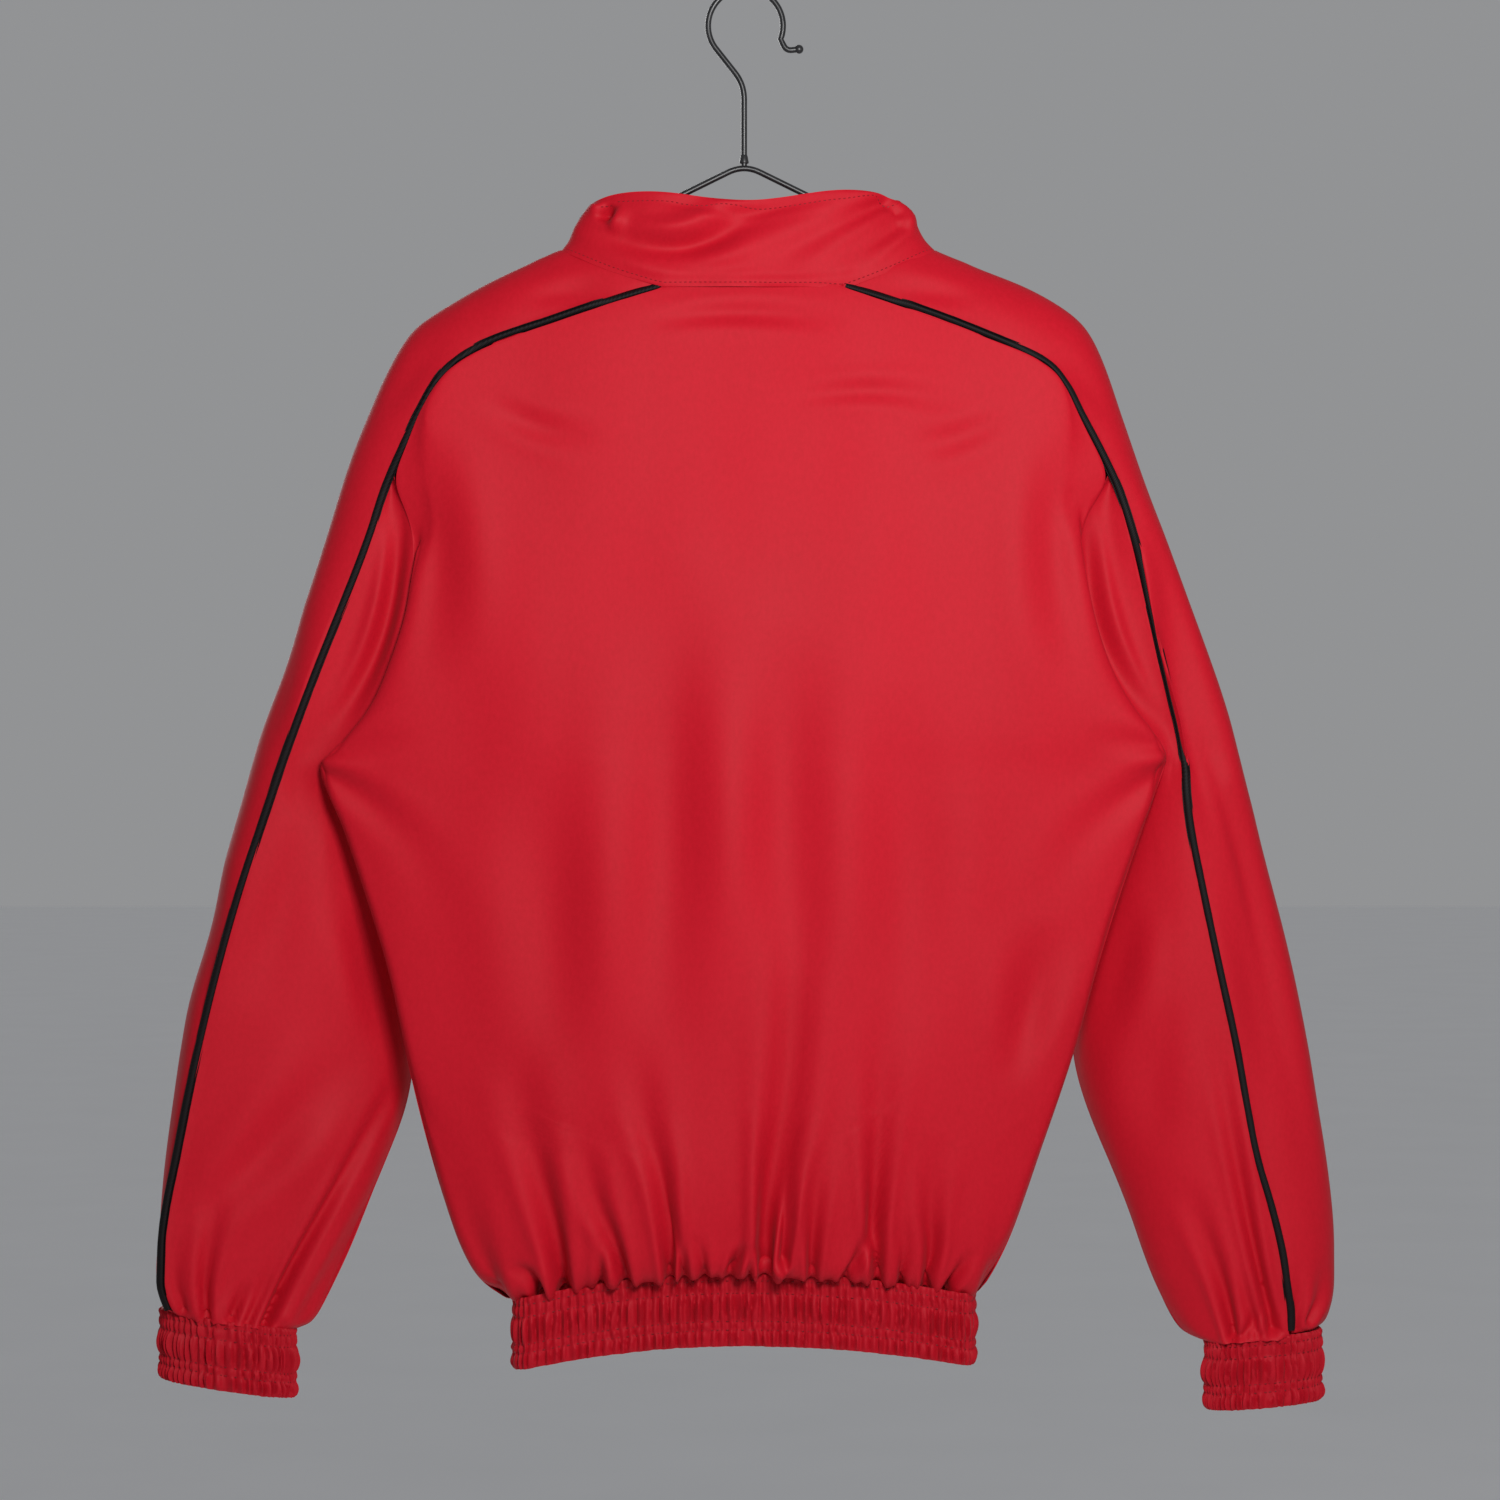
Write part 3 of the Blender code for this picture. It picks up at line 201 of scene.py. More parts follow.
redTricot = tricot("redTricot")
# hem band and cuffs: the same tricot made darker, painted shade for the light falling off low on the garment
# and between the gathers
shirredTricotPaintedShade = tricot("redTricotShirredPaintedShade", dim=0.88)
blackPiping = pipingFabric()
# the thread is painted darker than the cloth: painted shade of the groove it sits in
redThreadPaintedShade = threadLook("redThreadPaintedShade", (0.25, 0.003, 0.009))
zipTapeRed = tapeWeave()
zipBlack = toothPlastic()
zipSteel = sliderMetal()
wireBlack = wireEnamel()
print("finishes mixed")


# camera, light and floor

# metres for a pixel, the column of the garment's middle, and how many rows above the picture Z is 0
photoScale = dict(pixel=0.00066, middle=744, above=17)


def photoSpot(across, down):
    # a place on the garment from one on the photograph: X, and Z above the origin
    scale = photoScale
    return (scale["middle"] - across) * scale["pixel"], -(down + scale["above"]) * scale["pixel"]


studio = dict(distance=2.75, frameWidth=0.99, centre=photoSpot(750, 750), backDepth=0.03, sensor=36.0,
              floorDrop=-1.75, floorSize=60.0, wallColour=(0.80, 0.81, 0.83, 1.0), wallStrength=0.36)
middle = (0.0, 0.0, -0.52)
softLights = {
    "frontalSoftbox": dict(spot=(-0.26, 1.38, -0.06), target=(0.0, 0.0, -0.36), size=(0.45, 0.40),
                           power=21.0),
    "sideFill": dict(spot=(-2.0, 1.3, -0.2), target=middle, size=(0.9, 1.2), power=3.0),
    "frontFill": dict(spot=(0.9, -2.0, 0.1), target=middle, size=(1.6, 1.2), power=20.0)}


def lookAt(item, target):
    item.rotation_euler = (Vector(target) - item.location).to_track_quat('-Z', 'Y').to_euler()


def areaLight(name, spot, target, size, power):
    data = bpy.data.lights.new(name, 'AREA')
    data.shape = 'RECTANGLE'
    data.size, data.size_y = size
    data.energy = power
    lamp = bpy.data.objects.new(name, data)
    lamp.location = spot
    lookAt(lamp, target)
    bpy.context.collection.objects.link(lamp)


cameraData = bpy.data.cameras.new("photoCamera")
camera = bpy.data.objects.new("photoCamera", cameraData)
bpy.context.collection.objects.link(camera)
camera.location = (studio["centre"][0], studio["distance"], studio["centre"][1])
lookAt(camera, (studio["centre"][0], studio["backDepth"], studio["centre"][1]))
cameraData.sensor_width = studio["sensor"]
cameraData.lens = studio["sensor"] * (studio["distance"] - studio["backDepth"]) / studio["frameWidth"]
bpy.context.scene.camera = camera

for name, light in softLights.items():
    areaLight(name, **light)
world = bpy.data.worlds.new("paleRoom")
world.use_nodes = True
world.node_tree.nodes["Background"].inputs["Color"].default_value = studio["wallColour"]
world.node_tree.nodes["Background"].inputs["Strength"].default_value = studio["wallStrength"]
bpy.context.scene.world = world
bpy.context.scene.view_settings.view_transform = 'Standard'


def deselectAll():
    for item in list(bpy.context.selected_objects):
        item.select_set(False)


def makeActive(piece):
    deselectAll()
    bpy.context.view_layer.objects.active = piece
    piece.select_set(True)


bpy.ops.mesh.primitive_plane_add(size=studio["floorSize"], location=(0.0, 0.0, studio["floorDrop"]))
floor = bpy.context.object
floor.name = "paleFloor"
paint = Shader("palePaint", 0.85)
speck = paint.grain((3.0, 3.0, 3.0))
stops = [(0.3, (0.93, 0.935, 0.95)), (0.7, (0.95, 0.955, 0.97))]
paint.feed("Base Color", paint.node('ShaderNodeValToRGB', {'stops': stops}, {"Fac": speck}))
floor.data.materials.append(paint.material)
print("camera, light and floor set")


# cloth: the outer skin of each CAD wall, softened, creased and given its thickness

# the CAD wall, how nearly an edge has its length, what counts as one point, and how close columns merge
cadCloth = dict(wall=0.0012, wallSlack=0.000006, sameSpot=0.00002, mergeColumns=0.0013)
clothWall = 0.0009      # the cloth that shows, where its own row doesn't say


def useModifier(piece, kind, **settings):
    made = piece.modifiers.new(kind.lower(), kind)
    for name, value in settings.items():
        setattr(made, name, value)
    makeActive(piece)
    bpy.ops.object.modifier_apply(modifier=made.name)


def outerSkin(node, name, facing):
    # drop the rim of the wall, then keep the island of faces that looks outwards
    form = bmesh.new()
    form.from_mesh(nodes[node].data)
    bmesh.ops.remove_doubles(form, verts=form.verts, dist=cadCloth["sameSpot"])
    rim = [face for face in form.faces
           if any(abs(edge.calc_length() - cadCloth["wall"]) < cadCloth["wallSlack"] for edge in face.edges)]
    bmesh.ops.delete(form, geom=rim, context='FACES')
    waiting = set(form.faces)
    islands = []
    while waiting:
        queue = [waiting.pop()]
        island = []
        while queue:
            face = queue.pop()
            island.append(face)
            for edge in face.edges:
                for other in edge.link_faces:
                    if other in waiting:
                        waiting.remove(other)
                        queue.append(other)
        islands.append(island)
    islands.sort(key=lambda island: -sum(facing(face) * face.calc_area() for face in island))
    for island in islands[1:]:
        bmesh.ops.delete(form, geom=island, context='FACES')
    bmesh.ops.remove_doubles(form, verts=form.verts, dist=cadCloth["mergeColumns"])
    bmesh.ops.join_triangles(form, faces=form.faces, angle_face_threshold=radians(70),
                             angle_shape_threshold=radians(75))
    mesh = bpy.data.meshes.new(name)
    form.to_mesh(mesh)
    form.free()
    piece = bpy.data.objects.new(name, mesh)
    bpy.context.collection.objects.link(piece)
    return piece


def softened(path):
    # cut the corners of a line twice, ends kept
    for _ in range(2):
        cut = [path[0]]
        for (ax, az), (bx, bz) in zip(path, path[1:]):
            cut.append((ax * 0.75 + bx * 0.25, az * 0.75 + bz * 0.25))
            cut.append((ax * 0.25 + bx * 0.75, az * 0.25 + bz * 0.75))
        path = cut + [path[-1]]
    return path


def easeKinks(piece, rounds):
    # even out the corners of the seams between the CAD rows: an edge point follows its edge, others all round
    form = bmesh.new()
    form.from_mesh(piece.data)
    for _ in range(rounds):
        moved = {}
        for vert in form.verts:
            if abs(vert.co.x) < 0.0075 and vert.co.y < -0.02:
                continue   # the ends at the zip stay
            inland = [edge.other_vert(vert).co.z for edge in vert.link_edges if not edge.is_boundary]
            if vert.is_boundary and inland and sum(inland) / len(inland) > vert.co.z:
                continue   # the foot of the collar keeps to the neck seam
            if vert.is_boundary:
                around = [edge.other_vert(vert).co for edge in vert.link_edges if edge.is_boundary]
            else:
                around = [edge.other_vert(vert).co for edge in vert.link_edges]
            moved[vert] = vert.co.lerp(sum(around, Vector()) / len(around), 0.5)
        for vert, spot in moved.items():
            vert.co = spot
    form.to_mesh(piece.data)
    form.free()


# a crease row: its line in pixels of the photograph, its depth in mm (below 0 for a ridge), its width in mm
# at the line's start and at its end, and whether it fades to both ends or only to the far one.
# a wave row: how much Z counts in it, its pitch, height and seed
creaseShape = dict(swell=0.36, swellAt=1.9, swellWidth=0.9, atEdge=0.45, turnAway=3.0, fullValley=4.0)


def pressCreases(piece, creases, side=None, waves=(), lobes=None):
    # move the points along their normals: soft troughs and ridges, with a low swell on each side
    shape = creaseShape
    mesh = piece.data
    count = len(mesh.vertices)
    spots = np.zeros(count * 3)
    mesh.vertices.foreach_get("co", spots)
    spots = spots.reshape(-1, 3)
    normals = np.zeros(count * 3)
    mesh.vertex_normals.foreach_get("vector", normals)
    normals = normals.reshape(-1, 3)
    flat = spots[:, (0, 2)]
    shift = np.zeros(count)
    valley = np.zeros(count)
    for path, depth, foot, head, fade in creases:
        route = np.array(softened([photoSpot(*spot) for spot in path]))
        runs = np.sqrt(((route[1:] - route[:-1]) ** 2).sum(1))
        ends = np.concatenate([[0.0], np.cumsum(runs)]) / runs.sum()
        nearest = np.full(count, 9.0)
        along = np.zeros(count)
        for i, run in enumerate(runs):
            line = (route[i + 1] - route[i]) / run
            t = np.clip(((flat - route[i]) * line).sum(1) / run, 0.0, 1.0)
            away = np.sqrt((((route[i] + t[:, None] * line * run) - flat) ** 2).sum(1))
            closer = away < nearest
            nearest[closer] = away[closer]
            along[closer] = (ends[i] + t * (ends[i + 1] - ends[i]))[closer]
        width = (foot + (head - foot) * along) * 0.001
        near = nearest / width
        swell = np.exp(-((near - shape["swellAt"]) / shape["swellWidth"]) ** 2)
        profile = np.exp(-near ** 2) - shape["swell"] * swell
        taper = np.where(fade == 'both', np.sin(np.pi * np.clip(along, 0.0, 1.0)) ** 1.4,
                         np.clip((1 - along) / 0.85, 0.0, 1.0) ** 1.1)
        shift -= depth * 0.001 * profile * taper
        if fade == 'foot':
            valley = np.maximum(valley, np.clip(profile, 0.0, 1.0) * min(depth / shape["fullValley"], 1.0))
    for direction, pitch, height, seed in waves:
        for i in range(count):
            spot = spots[i]
            reach = Vector((spot[0] / pitch, spot[1] / pitch, spot[2] / pitch * direction))
            shift[i] += height * noise.noise(reach + Vector((seed, seed * 2, 0)))
    if side:
        shift *= np.clip(normals[:, 1] * side * shape["turnAway"], 0.0, 1.0)
    edge = np.zeros(count, bool)
    form = bmesh.new()
    form.from_mesh(mesh)
    for line in form.edges:
        if len(line.link_faces) == 1:
            edge[[vert.index for vert in line.verts]] = True
    form.free()
    calm = np.where(edge, shape["atEdge"], 1.0)
    spots += normals * (shift * calm)[:, None]
    if lobes:
        # between the gathers the cloth hangs over the elastic in round lobes
        level = np.clip((lobes["start"] - spots[:, 2]) / (lobes["start"] - lobes["end"]), 0.0, 1.0)
        level *= level * (1 - valley)
        spots[:, 2] -= lobes["drop"] * level
        spots[:, 1] += np.sign(normals[:, 1]) * lobes["drop"] * 0.9 * level
    mesh.vertices.foreach_set("co", spots.ravel())
    mesh.update()


def edgeRuns(piece, wanted):
    # the points of each stretch of open edge in order, the longest first
    form = bmesh.new()
    form.from_mesh(piece.data)
    links = {}
    for edge in form.edges:
        if len(edge.link_faces) == 1 and all(wanted(vert.co) for vert in edge.verts):
            for a, b in (edge.verts, reversed(edge.verts)):
                links.setdefault(a.index, []).append(b.index)
    form.verts.ensure_lookup_table()
    ends = [key for key, value in links.items() if len(value) == 1]
    walks = []
    seen = set()
    for start in ends + list(links):
        if start in seen:
            continue
        walk = [start]
        seen.add(start)
        while True:
            following = [i for i in links[walk[-1]] if i not in seen]
            if not following:
                break
            walk.append(following[0])
            seen.add(following[0])
        walks.append(walk)
    runs = [[form.verts[i].co.copy() for i in walk] for walk in sorted(walks, key=len, reverse=True)]
    form.free()
    return runs


def spaced(points, step):
    # the same line with even steps
    lengths = [0.0]
    for before, after in zip(points, points[1:]):
        lengths.append(lengths[-1] + (after - before).length)
    count = max(2, int(lengths[-1] / step))
    result = []
    n = 0
    for i in range(count + 1):
        spot = lengths[-1] * i / count
        while n < len(lengths) - 2 and lengths[n + 1] < spot:
            n += 1
        t = (spot - lengths[n]) / max(lengths[n + 1] - lengths[n], 1e-9)
        result.append(points[n].lerp(points[n + 1], min(max(t, 0.0), 1.0)))
    return result


def meshPiece(name, points, faces, material, smooth=50.0):
    mesh = bpy.data.meshes.new(name)
    mesh.from_pydata([tuple(point) for point in points], [], faces)
    mesh.update()
    piece = bpy.data.objects.new(name, mesh)
    bpy.context.collection.objects.link(piece)
    mesh.materials.append(material)
    makeActive(piece)
    if smooth:
        bpy.ops.object.shade_smooth_by_angle(angle=radians(smooth))
    return piece


def turnOutward(piece):
    makeActive(piece)
    bpy.ops.object.mode_set(mode='EDIT')
    bpy.ops.mesh.select_all(action='SELECT')
    bpy.ops.mesh.normals_make_consistent(inside=False)
    bpy.ops.object.mode_set(mode='OBJECT')


stitchSize = dict(length=0.0022, gap=0.0011, thickness=0.00032, sunk=0.6, shoulder=0.22)


def stitchRow(path, directions, points, faces):
    # one small closed spindle for each stitch, half sunk in the cloth
    size = stitchSize
    step = size["length"] + size["gap"]
    line = spaced(path, step)
    for i in range(len(line) - 1):
        start = line[i]
        along = (line[i + 1] - start).normalized()
        out = directions(start)
        across = along.cross(out).normalized()
        end = start + along * size["length"]
        base = len(points)
        sunk = out * size["thickness"] * size["sunk"]
        points.append(start - sunk)
        for middleSpot in (start.lerp(end, size["shoulder"]), start.lerp(end, 1 - size["shoulder"])):
            for a, b in ((1, 0), (0, 1), (-1, 0), (0, -1)):
                points.append(middleSpot + (out * a + across * b) * size["thickness"])
        points.append(end - sunk)
        ring, nextRing, last = base + 1, base + 5, base + 9
        for j in range(4):
            k = (j + 1) % 4
            faces.append((base, ring + k, ring + j))
            faces.append((ring + j, ring + k, nextRing + k, nextRing + j))
            faces.append((nextRing + j, nextRing + k, last))


def surfaceOf(piece):
    return BVHTree.FromObject(piece, bpy.context.evaluated_depsgraph_get())


def topstitch(name, rows):
    # rows: (points of an edge, how far from it, the surface)
    points, faces = [], []
    for line, inset, surface in rows:
        line = spaced(line, 0.003)
        shifted = []
        for i, spot in enumerate(line):
            along = (line[min(i + 1, len(line) - 1)] - line[max(i - 1, 0)]).normalized()
            hit = surface.find_nearest(spot)
            into = hit[1].cross(along).normalized()
            best = None
            for way in (1, -1):
                landed = surface.find_nearest(spot + into * way * inset)
                miss = (landed[0] - (spot + into * way * inset)).length
                if best is None or miss < best[0]:
                    best = (miss, landed[0])
            shifted.append(best[1])
        stitchRow(shifted, lambda spot: surface.find_nearest(spot)[1], points, faces)
    piece = meshPiece(name, points, faces, redThreadPaintedShade, smooth=0)
    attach(piece, "jacket")
    return piece


def awayFromNeck(face):
    centre = face.calc_center_median()
    return face.normal.dot(Vector((centre.x * 0.3, centre.y + 0.012, 0)))


clothBits = {
    "back": dict(
        node="back_panel", facing=lambda face: face.normal.y, side=1, flat=(0.60, 0.68), area=0.310,
        creases=[
            ([(565, 1286), (555, 1226), (530, 1133), (514, 1040)], 10.5, 4.0, 13.0, 'foot'),
            ([(628, 1282), (617, 1243), (592, 1186), (583, 1120)], 8.5, 3.2, 9.0, 'foot'),
            ([(671, 1282), (665, 1180), (646, 1120), (634, 1030)], 9.2, 3.0, 11.0, 'foot'),
            ([(685, 1280), (680, 1240), (672, 1200)], 6.2, 2.6, 5.0, 'foot'),
            ([(730, 1270), (738, 1252), (748, 1238)], 6.7, 2.6, 4.5, 'foot'),
            ([(765, 1270), (767, 1226), (775, 1145), (787, 1063), (797, 960), (800, 860)],
             12.1, 4.2, 15.0, 'foot'),
            ([(783, 1256), (787, 1180), (801, 1096), (812, 1000)], 8.9, 3.2, 11.0, 'foot'),
            ([(812, 1270), (814, 1218), (819, 1145)], 6.9, 3.0, 7.0, 'foot'),
            ([(844, 1274), (861, 1251), (871, 1218), (874, 1180)], 6.2, 2.6, 6.0, 'foot'),
            ([(877, 1274), (875, 1202), (879, 1104), (885, 1000)], 9.7, 3.2, 11.0, 'foot'),
            ([(926, 1277), (934, 1239), (930, 1206), (934, 1130)], 8.0, 3.0, 9.0, 'foot'),
            ([(944, 1282), (960, 1262), (972, 1240)], 5.4, 2.4, 4.0, 'foot'),
            ([(546, 1290), (532, 1262), (514, 1252)], 6.9, 2.8, 4.5, 'foot'),
            ([(600, 1284), (603, 1255), (598, 1225)], 4.7, 2.4, 4.0, 'foot'),
            ([(705, 1276), (702, 1250), (696, 1232)], 4.2, 2.4, 4.0, 'foot'),
            ([(750, 1272), (752, 1250), (757, 1232)], 4.2, 2.2, 3.6, 'foot'),
            ([(901, 1276), (905, 1246), (902, 1214)], 5.0, 2.4, 4.4, 'foot'),
            ([(500, 1285), (470, 1210), (452, 1140)], 4.3, 5.0, 12.0, 'foot'),
            ([(985, 1285), (1002, 1230), (1012, 1170)], 3.4, 5.0, 11.0, 'foot'),
            # long soft troughs down the panel
            ([(661, 1080), (664, 940), (672, 760), (690, 560)], 7.2, 20.0, 26.0, 'both'),
            ([(790, 980), (784, 800), (776, 620)], 6.2, 18.0, 26.0, 'both'),
            ([(560, 1080), (548, 930), (545, 740)], 5.0, 18.0, 26.0, 'both'),
            ([(900, 1080), (912, 880), (896, 680)], 5.6, 18.0, 26.0, 'both'),
            ([(1010, 1090), (1030, 1010), (1046, 920)], 5.6, 9.0, 16.0, 'both'),
            # drags from the armholes
            ([(1172, 768), (1120, 800), (1070, 850), (1050, 920)], 3.0, 6.0, 14.0, 'foot'),
            ([(1165, 748), (1125, 740), (1080, 744)], 2.4, 5.0, 10.0, 'foot'),
            ([(318, 772), (370, 800), (420, 850), (440, 930)], 3.2, 6.0, 14.0, 'foot'),
            ([(330, 752), (375, 742), (420, 740)], 2.2, 5.0, 10.0, 'foot'),
            ([(425, 430), (440, 520), (436, 620), (415, 700)], 5.0, 12.0, 18.0, 'both'),
            ([(1058, 430), (1052, 520), (1062, 620), (1088, 700)], 5.0, 12.0, 18.0, 'both'),
            # faint creases over the shoulders
            ([(640, 322), (740, 310), (850, 322)], 2.2, 5.0, 7.0, 'both'),
            ([(780, 400), (880, 388), (960, 404)], 2.0, 5.0, 7.0, 'both'),
            ([(480, 400), (540, 430), (600, 440)], 2.2, 6.0, 9.0, 'both'),
            ([(1010, 412), (960, 440), (900, 452)], 2.2, 6.0, 9.0, 'both')],
        waves=[(0.4, 0.060, 0.0023, 3.1)], lobes=dict(start=-0.822, end=-0.862, drop=0.0036)),
    "frontLeft": dict(
        node="front_panel_left", facing=lambda face: -face.normal.y, side=-1, flat=(0.31, 0.65), area=0.146,
        creases=[
            ([(690, 1290), (684, 1230), (676, 1130)], 6.9, 3.2, 10.0, 'foot'),
            ([(655, 1292), (650, 1210), (632, 1060), (640, 940)], 8.9, 3.6, 14.0, 'foot'),
            ([(622, 1294), (620, 1250), (612, 1190)], 6.2, 2.8, 6.0, 'foot'),
            ([(592, 1296), (584, 1230), (560, 1120)], 8.5, 3.4, 11.0, 'foot'),
            ([(556, 1300), (548, 1262), (536, 1210)], 6.7, 2.8, 7.0, 'foot'),
            ([(528, 1304), (510, 1250), (486, 1180)], 6.2, 3.4, 10.0, 'foot'),
            ([(706, 1286), (702, 1262), (700, 1236)], 4.7, 2.4, 4.0, 'foot'),
            ([(672, 1288), (668, 1262), (662, 1236)], 4.2, 2.4, 4.0, 'foot'),
            ([(575, 1298), (570, 1270), (560, 1244)], 4.2, 2.4, 4.0, 'foot'),
            ([(600, 1040), (606, 900), (600, 720)], 6.8, 18.0, 26.0, 'both'),
            ([(690, 1060), (700, 880), (690, 700)], 5.0, 14.0, 22.0, 'both'),
            ([(330, 760), (400, 790), (450, 860)], 3.4, 6.0, 14.0, 'foot'),
            ([(470, 420), (500, 520), (480, 640), (430, 720)], 6.2, 12.0, 18.0, 'both'),
            ([(600, 380), (560, 430), (520, 460)], 3.4, 6.0, 9.0, 'both')],
        waves=[(0.4, 0.055, 0.0023, 7.7)], lobes=dict(start=-0.822, end=-0.862, drop=0.0036)),
    "frontRight": dict(
        node="front_panel_right", facing=lambda face: -face.normal.y, side=-1, flat=(0.31, 0.65), area=0.146,
        creases=[
            ([(794, 1290), (800, 1220), (806, 1110)], 7.2, 3.2, 10.0, 'foot'),
            ([(832, 1290), (836, 1240), (846, 1180)], 6.2, 2.8, 7.0, 'foot'),
            ([(866, 1292), (870, 1200), (884, 1050), (876, 930)], 9.2, 3.6, 14.0, 'foot'),
            ([(900, 1294), (908, 1250), (918, 1190)], 6.7, 2.8, 7.0, 'foot'),
            ([(934, 1298), (948, 1220), (968, 1120)], 8.0, 3.4, 11.0, 'foot'),
            ([(962, 1302), (984, 1240), (1006, 1180)], 6.2, 3.2, 9.0, 'foot'),
            ([(778, 1286), (782, 1262), (784, 1240)], 4.7, 2.4, 4.0, 'foot'),
            ([(815, 1288), (820, 1266), (822, 1240)], 4.2, 2.4, 4.0, 'foot'),
            ([(884, 1292), (890, 1268), (896, 1246)], 4.2, 2.4, 4.0, 'foot'),
            ([(880, 1020), (872, 860), (880, 700)], 6.2, 18.0, 26.0, 'both'),
            ([(800, 1050), (792, 880), (800, 690)], 5.0, 14.0, 22.0, 'both'),
            ([(1160, 750), (1100, 780), (1050, 850)], 3.4, 6.0, 14.0, 'foot'),
            ([(1030, 420), (1000, 520), (1020, 640), (1070, 720)], 6.2, 12.0, 18.0, 'both'),
            ([(890, 380), (930, 430), (970, 460)], 3.4, 6.0, 9.0, 'both')],
        waves=[(0.4, 0.055, 0.0023, 2.3)], lobes=dict(start=-0.822, end=-0.862, drop=0.0036)),
    "stripLeft": dict(
        node="shoulder_strip_left", facing=lambda face: face.normal.x, side=None, flat=(0.13, 0.84),
        area=0.080,
        creases=[
            ([(174, 1306), (168, 1270), (172, 1220)], 3.6, 2.8, 6.0, 'foot'),
            ([(200, 1050), (206, 960), (222, 860)], 3.2, 7.0, 12.0, 'both'),
            ([(262, 760), (280, 680), (300, 600)], 2.6, 7.0, 12.0, 'both'),
            ([(380, 420), (410, 370), (450, 330)], 2.4, 7.0, 12.0, 'both'),
            ([(520, 300), (560, 290), (610, 290)], 1.6, 5.0, 8.0, 'both')],
        waves=[(0.5, 0.050, 0.0021, 4.4)]),
    "stripRight": dict(
        node="shoulder_strip_right", facing=lambda face: -face.normal.x, side=None, flat=(0.13, 0.84),
        area=0.080,
        creases=[
            ([(1312, 1322), (1324, 1300), (1326, 1260)], 3.8, 2.8, 6.0, 'foot'),
            ([(1296, 1330), (1300, 1300), (1296, 1262)], 2.6, 2.6, 5.0, 'foot'),
            ([(1121, 451), (1158, 521), (1191, 610), (1216, 686), (1234, 766), (1262, 850), (1301, 1019),
              (1322, 1136), (1334, 1211)], -6.4, 5.0, 7.0, 'both'),
            ([(1146, 560), (1172, 650), (1196, 760), (1224, 860)], 6.0, 8.0, 9.0, 'both'),
            ([(1236, 880), (1262, 1010), (1290, 1130)], 3.2, 9.0, 12.0, 'both'),
            ([(1160, 560), (1185, 680), (1215, 800)], 2.8, 7.0, 10.0, 'both'),
            ([(1120, 430), (1090, 380), (1050, 340)], 2.4, 7.0, 12.0, 'both'),
            ([(980, 300), (930, 290), (880, 290)], 1.6, 5.0, 8.0, 'both')],
        waves=[(0.5, 0.050, 0.0021, 9.2)]),
    "sleeveBackLeft": dict(
        node="sleeve_back_left", facing=lambda face: face.normal.y, side=1, flat=(0.17, 0.55), area=0.055,
        creases=[
            ([(263, 1324), (296, 1258), (339, 1182), (380, 1105), (404, 1066)], 7.5, 3.0, 4.5, 'foot'),
            ([(284, 1318), (330, 1240), (368, 1170), (400, 1098)], -3.6, 5.0, 7.0, 'foot'),
            ([(230, 1318), (238, 1300), (248, 1284)], 5.5, 2.8, 4.5, 'foot'),
            ([(205, 1316), (203, 1281), (210, 1238), (218, 1190)], 7.5, 2.8, 7.0, 'foot'),
            ([(182, 1310), (173, 1281), (176, 1240)], 3.4, 2.6, 5.0, 'foot'),
            ([(246, 1322), (262, 1290), (276, 1260)], 2.9, 2.6, 5.0, 'foot'),
            ([(183, 1232), (239, 1182), (299, 1112), (340, 1050)], 5.2, 10.0, 16.0, 'both'),
            ([(352, 900), (372, 980), (392, 1059)], 5.6, 10.0, 14.0, 'both'),
            ([(300, 820), (280, 920), (250, 1020)], 3.2, 12.0, 18.0, 'both'),
            ([(402, 500), (396, 560), (388, 610), (374, 655), (352, 700), (328, 735)],
             6.9, 5.0, 6.0, 'both')],
        waves=[(0.5, 0.050, 0.0027, 5.9)], lobes=dict(start=-0.858, end=-0.886, drop=0.0028)),
    "sleeveBackRight": dict(
        node="sleeve_back_right", facing=lambda face: face.normal.y, side=1, flat=(0.15, 0.55), area=0.045,
        creases=[
            ([(1235, 1334), (1222, 1279), (1203, 1226), (1186, 1180)], 7.5, 3.0, 8.0, 'foot'),
            ([(1273, 1330), (1260, 1275), (1246, 1207), (1229, 1113), (1216, 1030)], 8.0, 2.8, 6.0, 'foot'),
            ([(1280, 1330), (1272, 1298), (1264, 1264)], 3.1, 2.4, 4.0, 'foot'),
            ([(1246, 1334), (1256, 1318), (1262, 1304)], 2.9, 2.4, 4.0, 'foot'),
            ([(1258, 1332), (1248, 1300), (1240, 1270)], 2.4, 2.4, 4.0, 'foot'),
            ([(1140, 900), (1120, 980), (1100, 1050)], 4.4, 9.0, 14.0, 'both'),
            ([(1180, 1000), (1150, 1080), (1160, 1160)], 2.8, 10.0, 16.0, 'both'),
            ([(1084, 500), (1090, 560), (1098, 610), (1112, 655), (1135, 700), (1160, 735)],
             7.5, 5.0, 6.0, 'both')],
        waves=[(0.5, 0.050, 0.0027, 1.7)], lobes=dict(start=-0.868, end=-0.896, drop=0.0028)),
    "sleeveFrontLeft": dict(
        node="sleeve_front_left", facing=lambda face: -face.normal.y, side=-1, flat=(0.13, 0.55), area=0.040,
        creases=[
            ([(262, 1322), (284, 1250), (320, 1180)], 4.1, 3.2, 8.0, 'foot'),
            ([(226, 1318), (232, 1270), (250, 1200)], 4.6, 2.8, 7.0, 'foot'),
            ([(202, 1314), (200, 1284), (206, 1250)], 3.4, 2.6, 5.0, 'foot'),
            ([(244, 1322), (252, 1296), (262, 1270)], 2.6, 2.4, 4.0, 'foot'),
            ([(220, 1180), (270, 1090), (320, 1010)], 4.8, 10.0, 16.0, 'both'),
            ([(300, 800), (290, 900), (270, 1000)], 3.2, 12.0, 18.0, 'both'),
            ([(386, 520), (370, 620), (340, 710)], 4.8, 9.0, 14.0, 'both')],
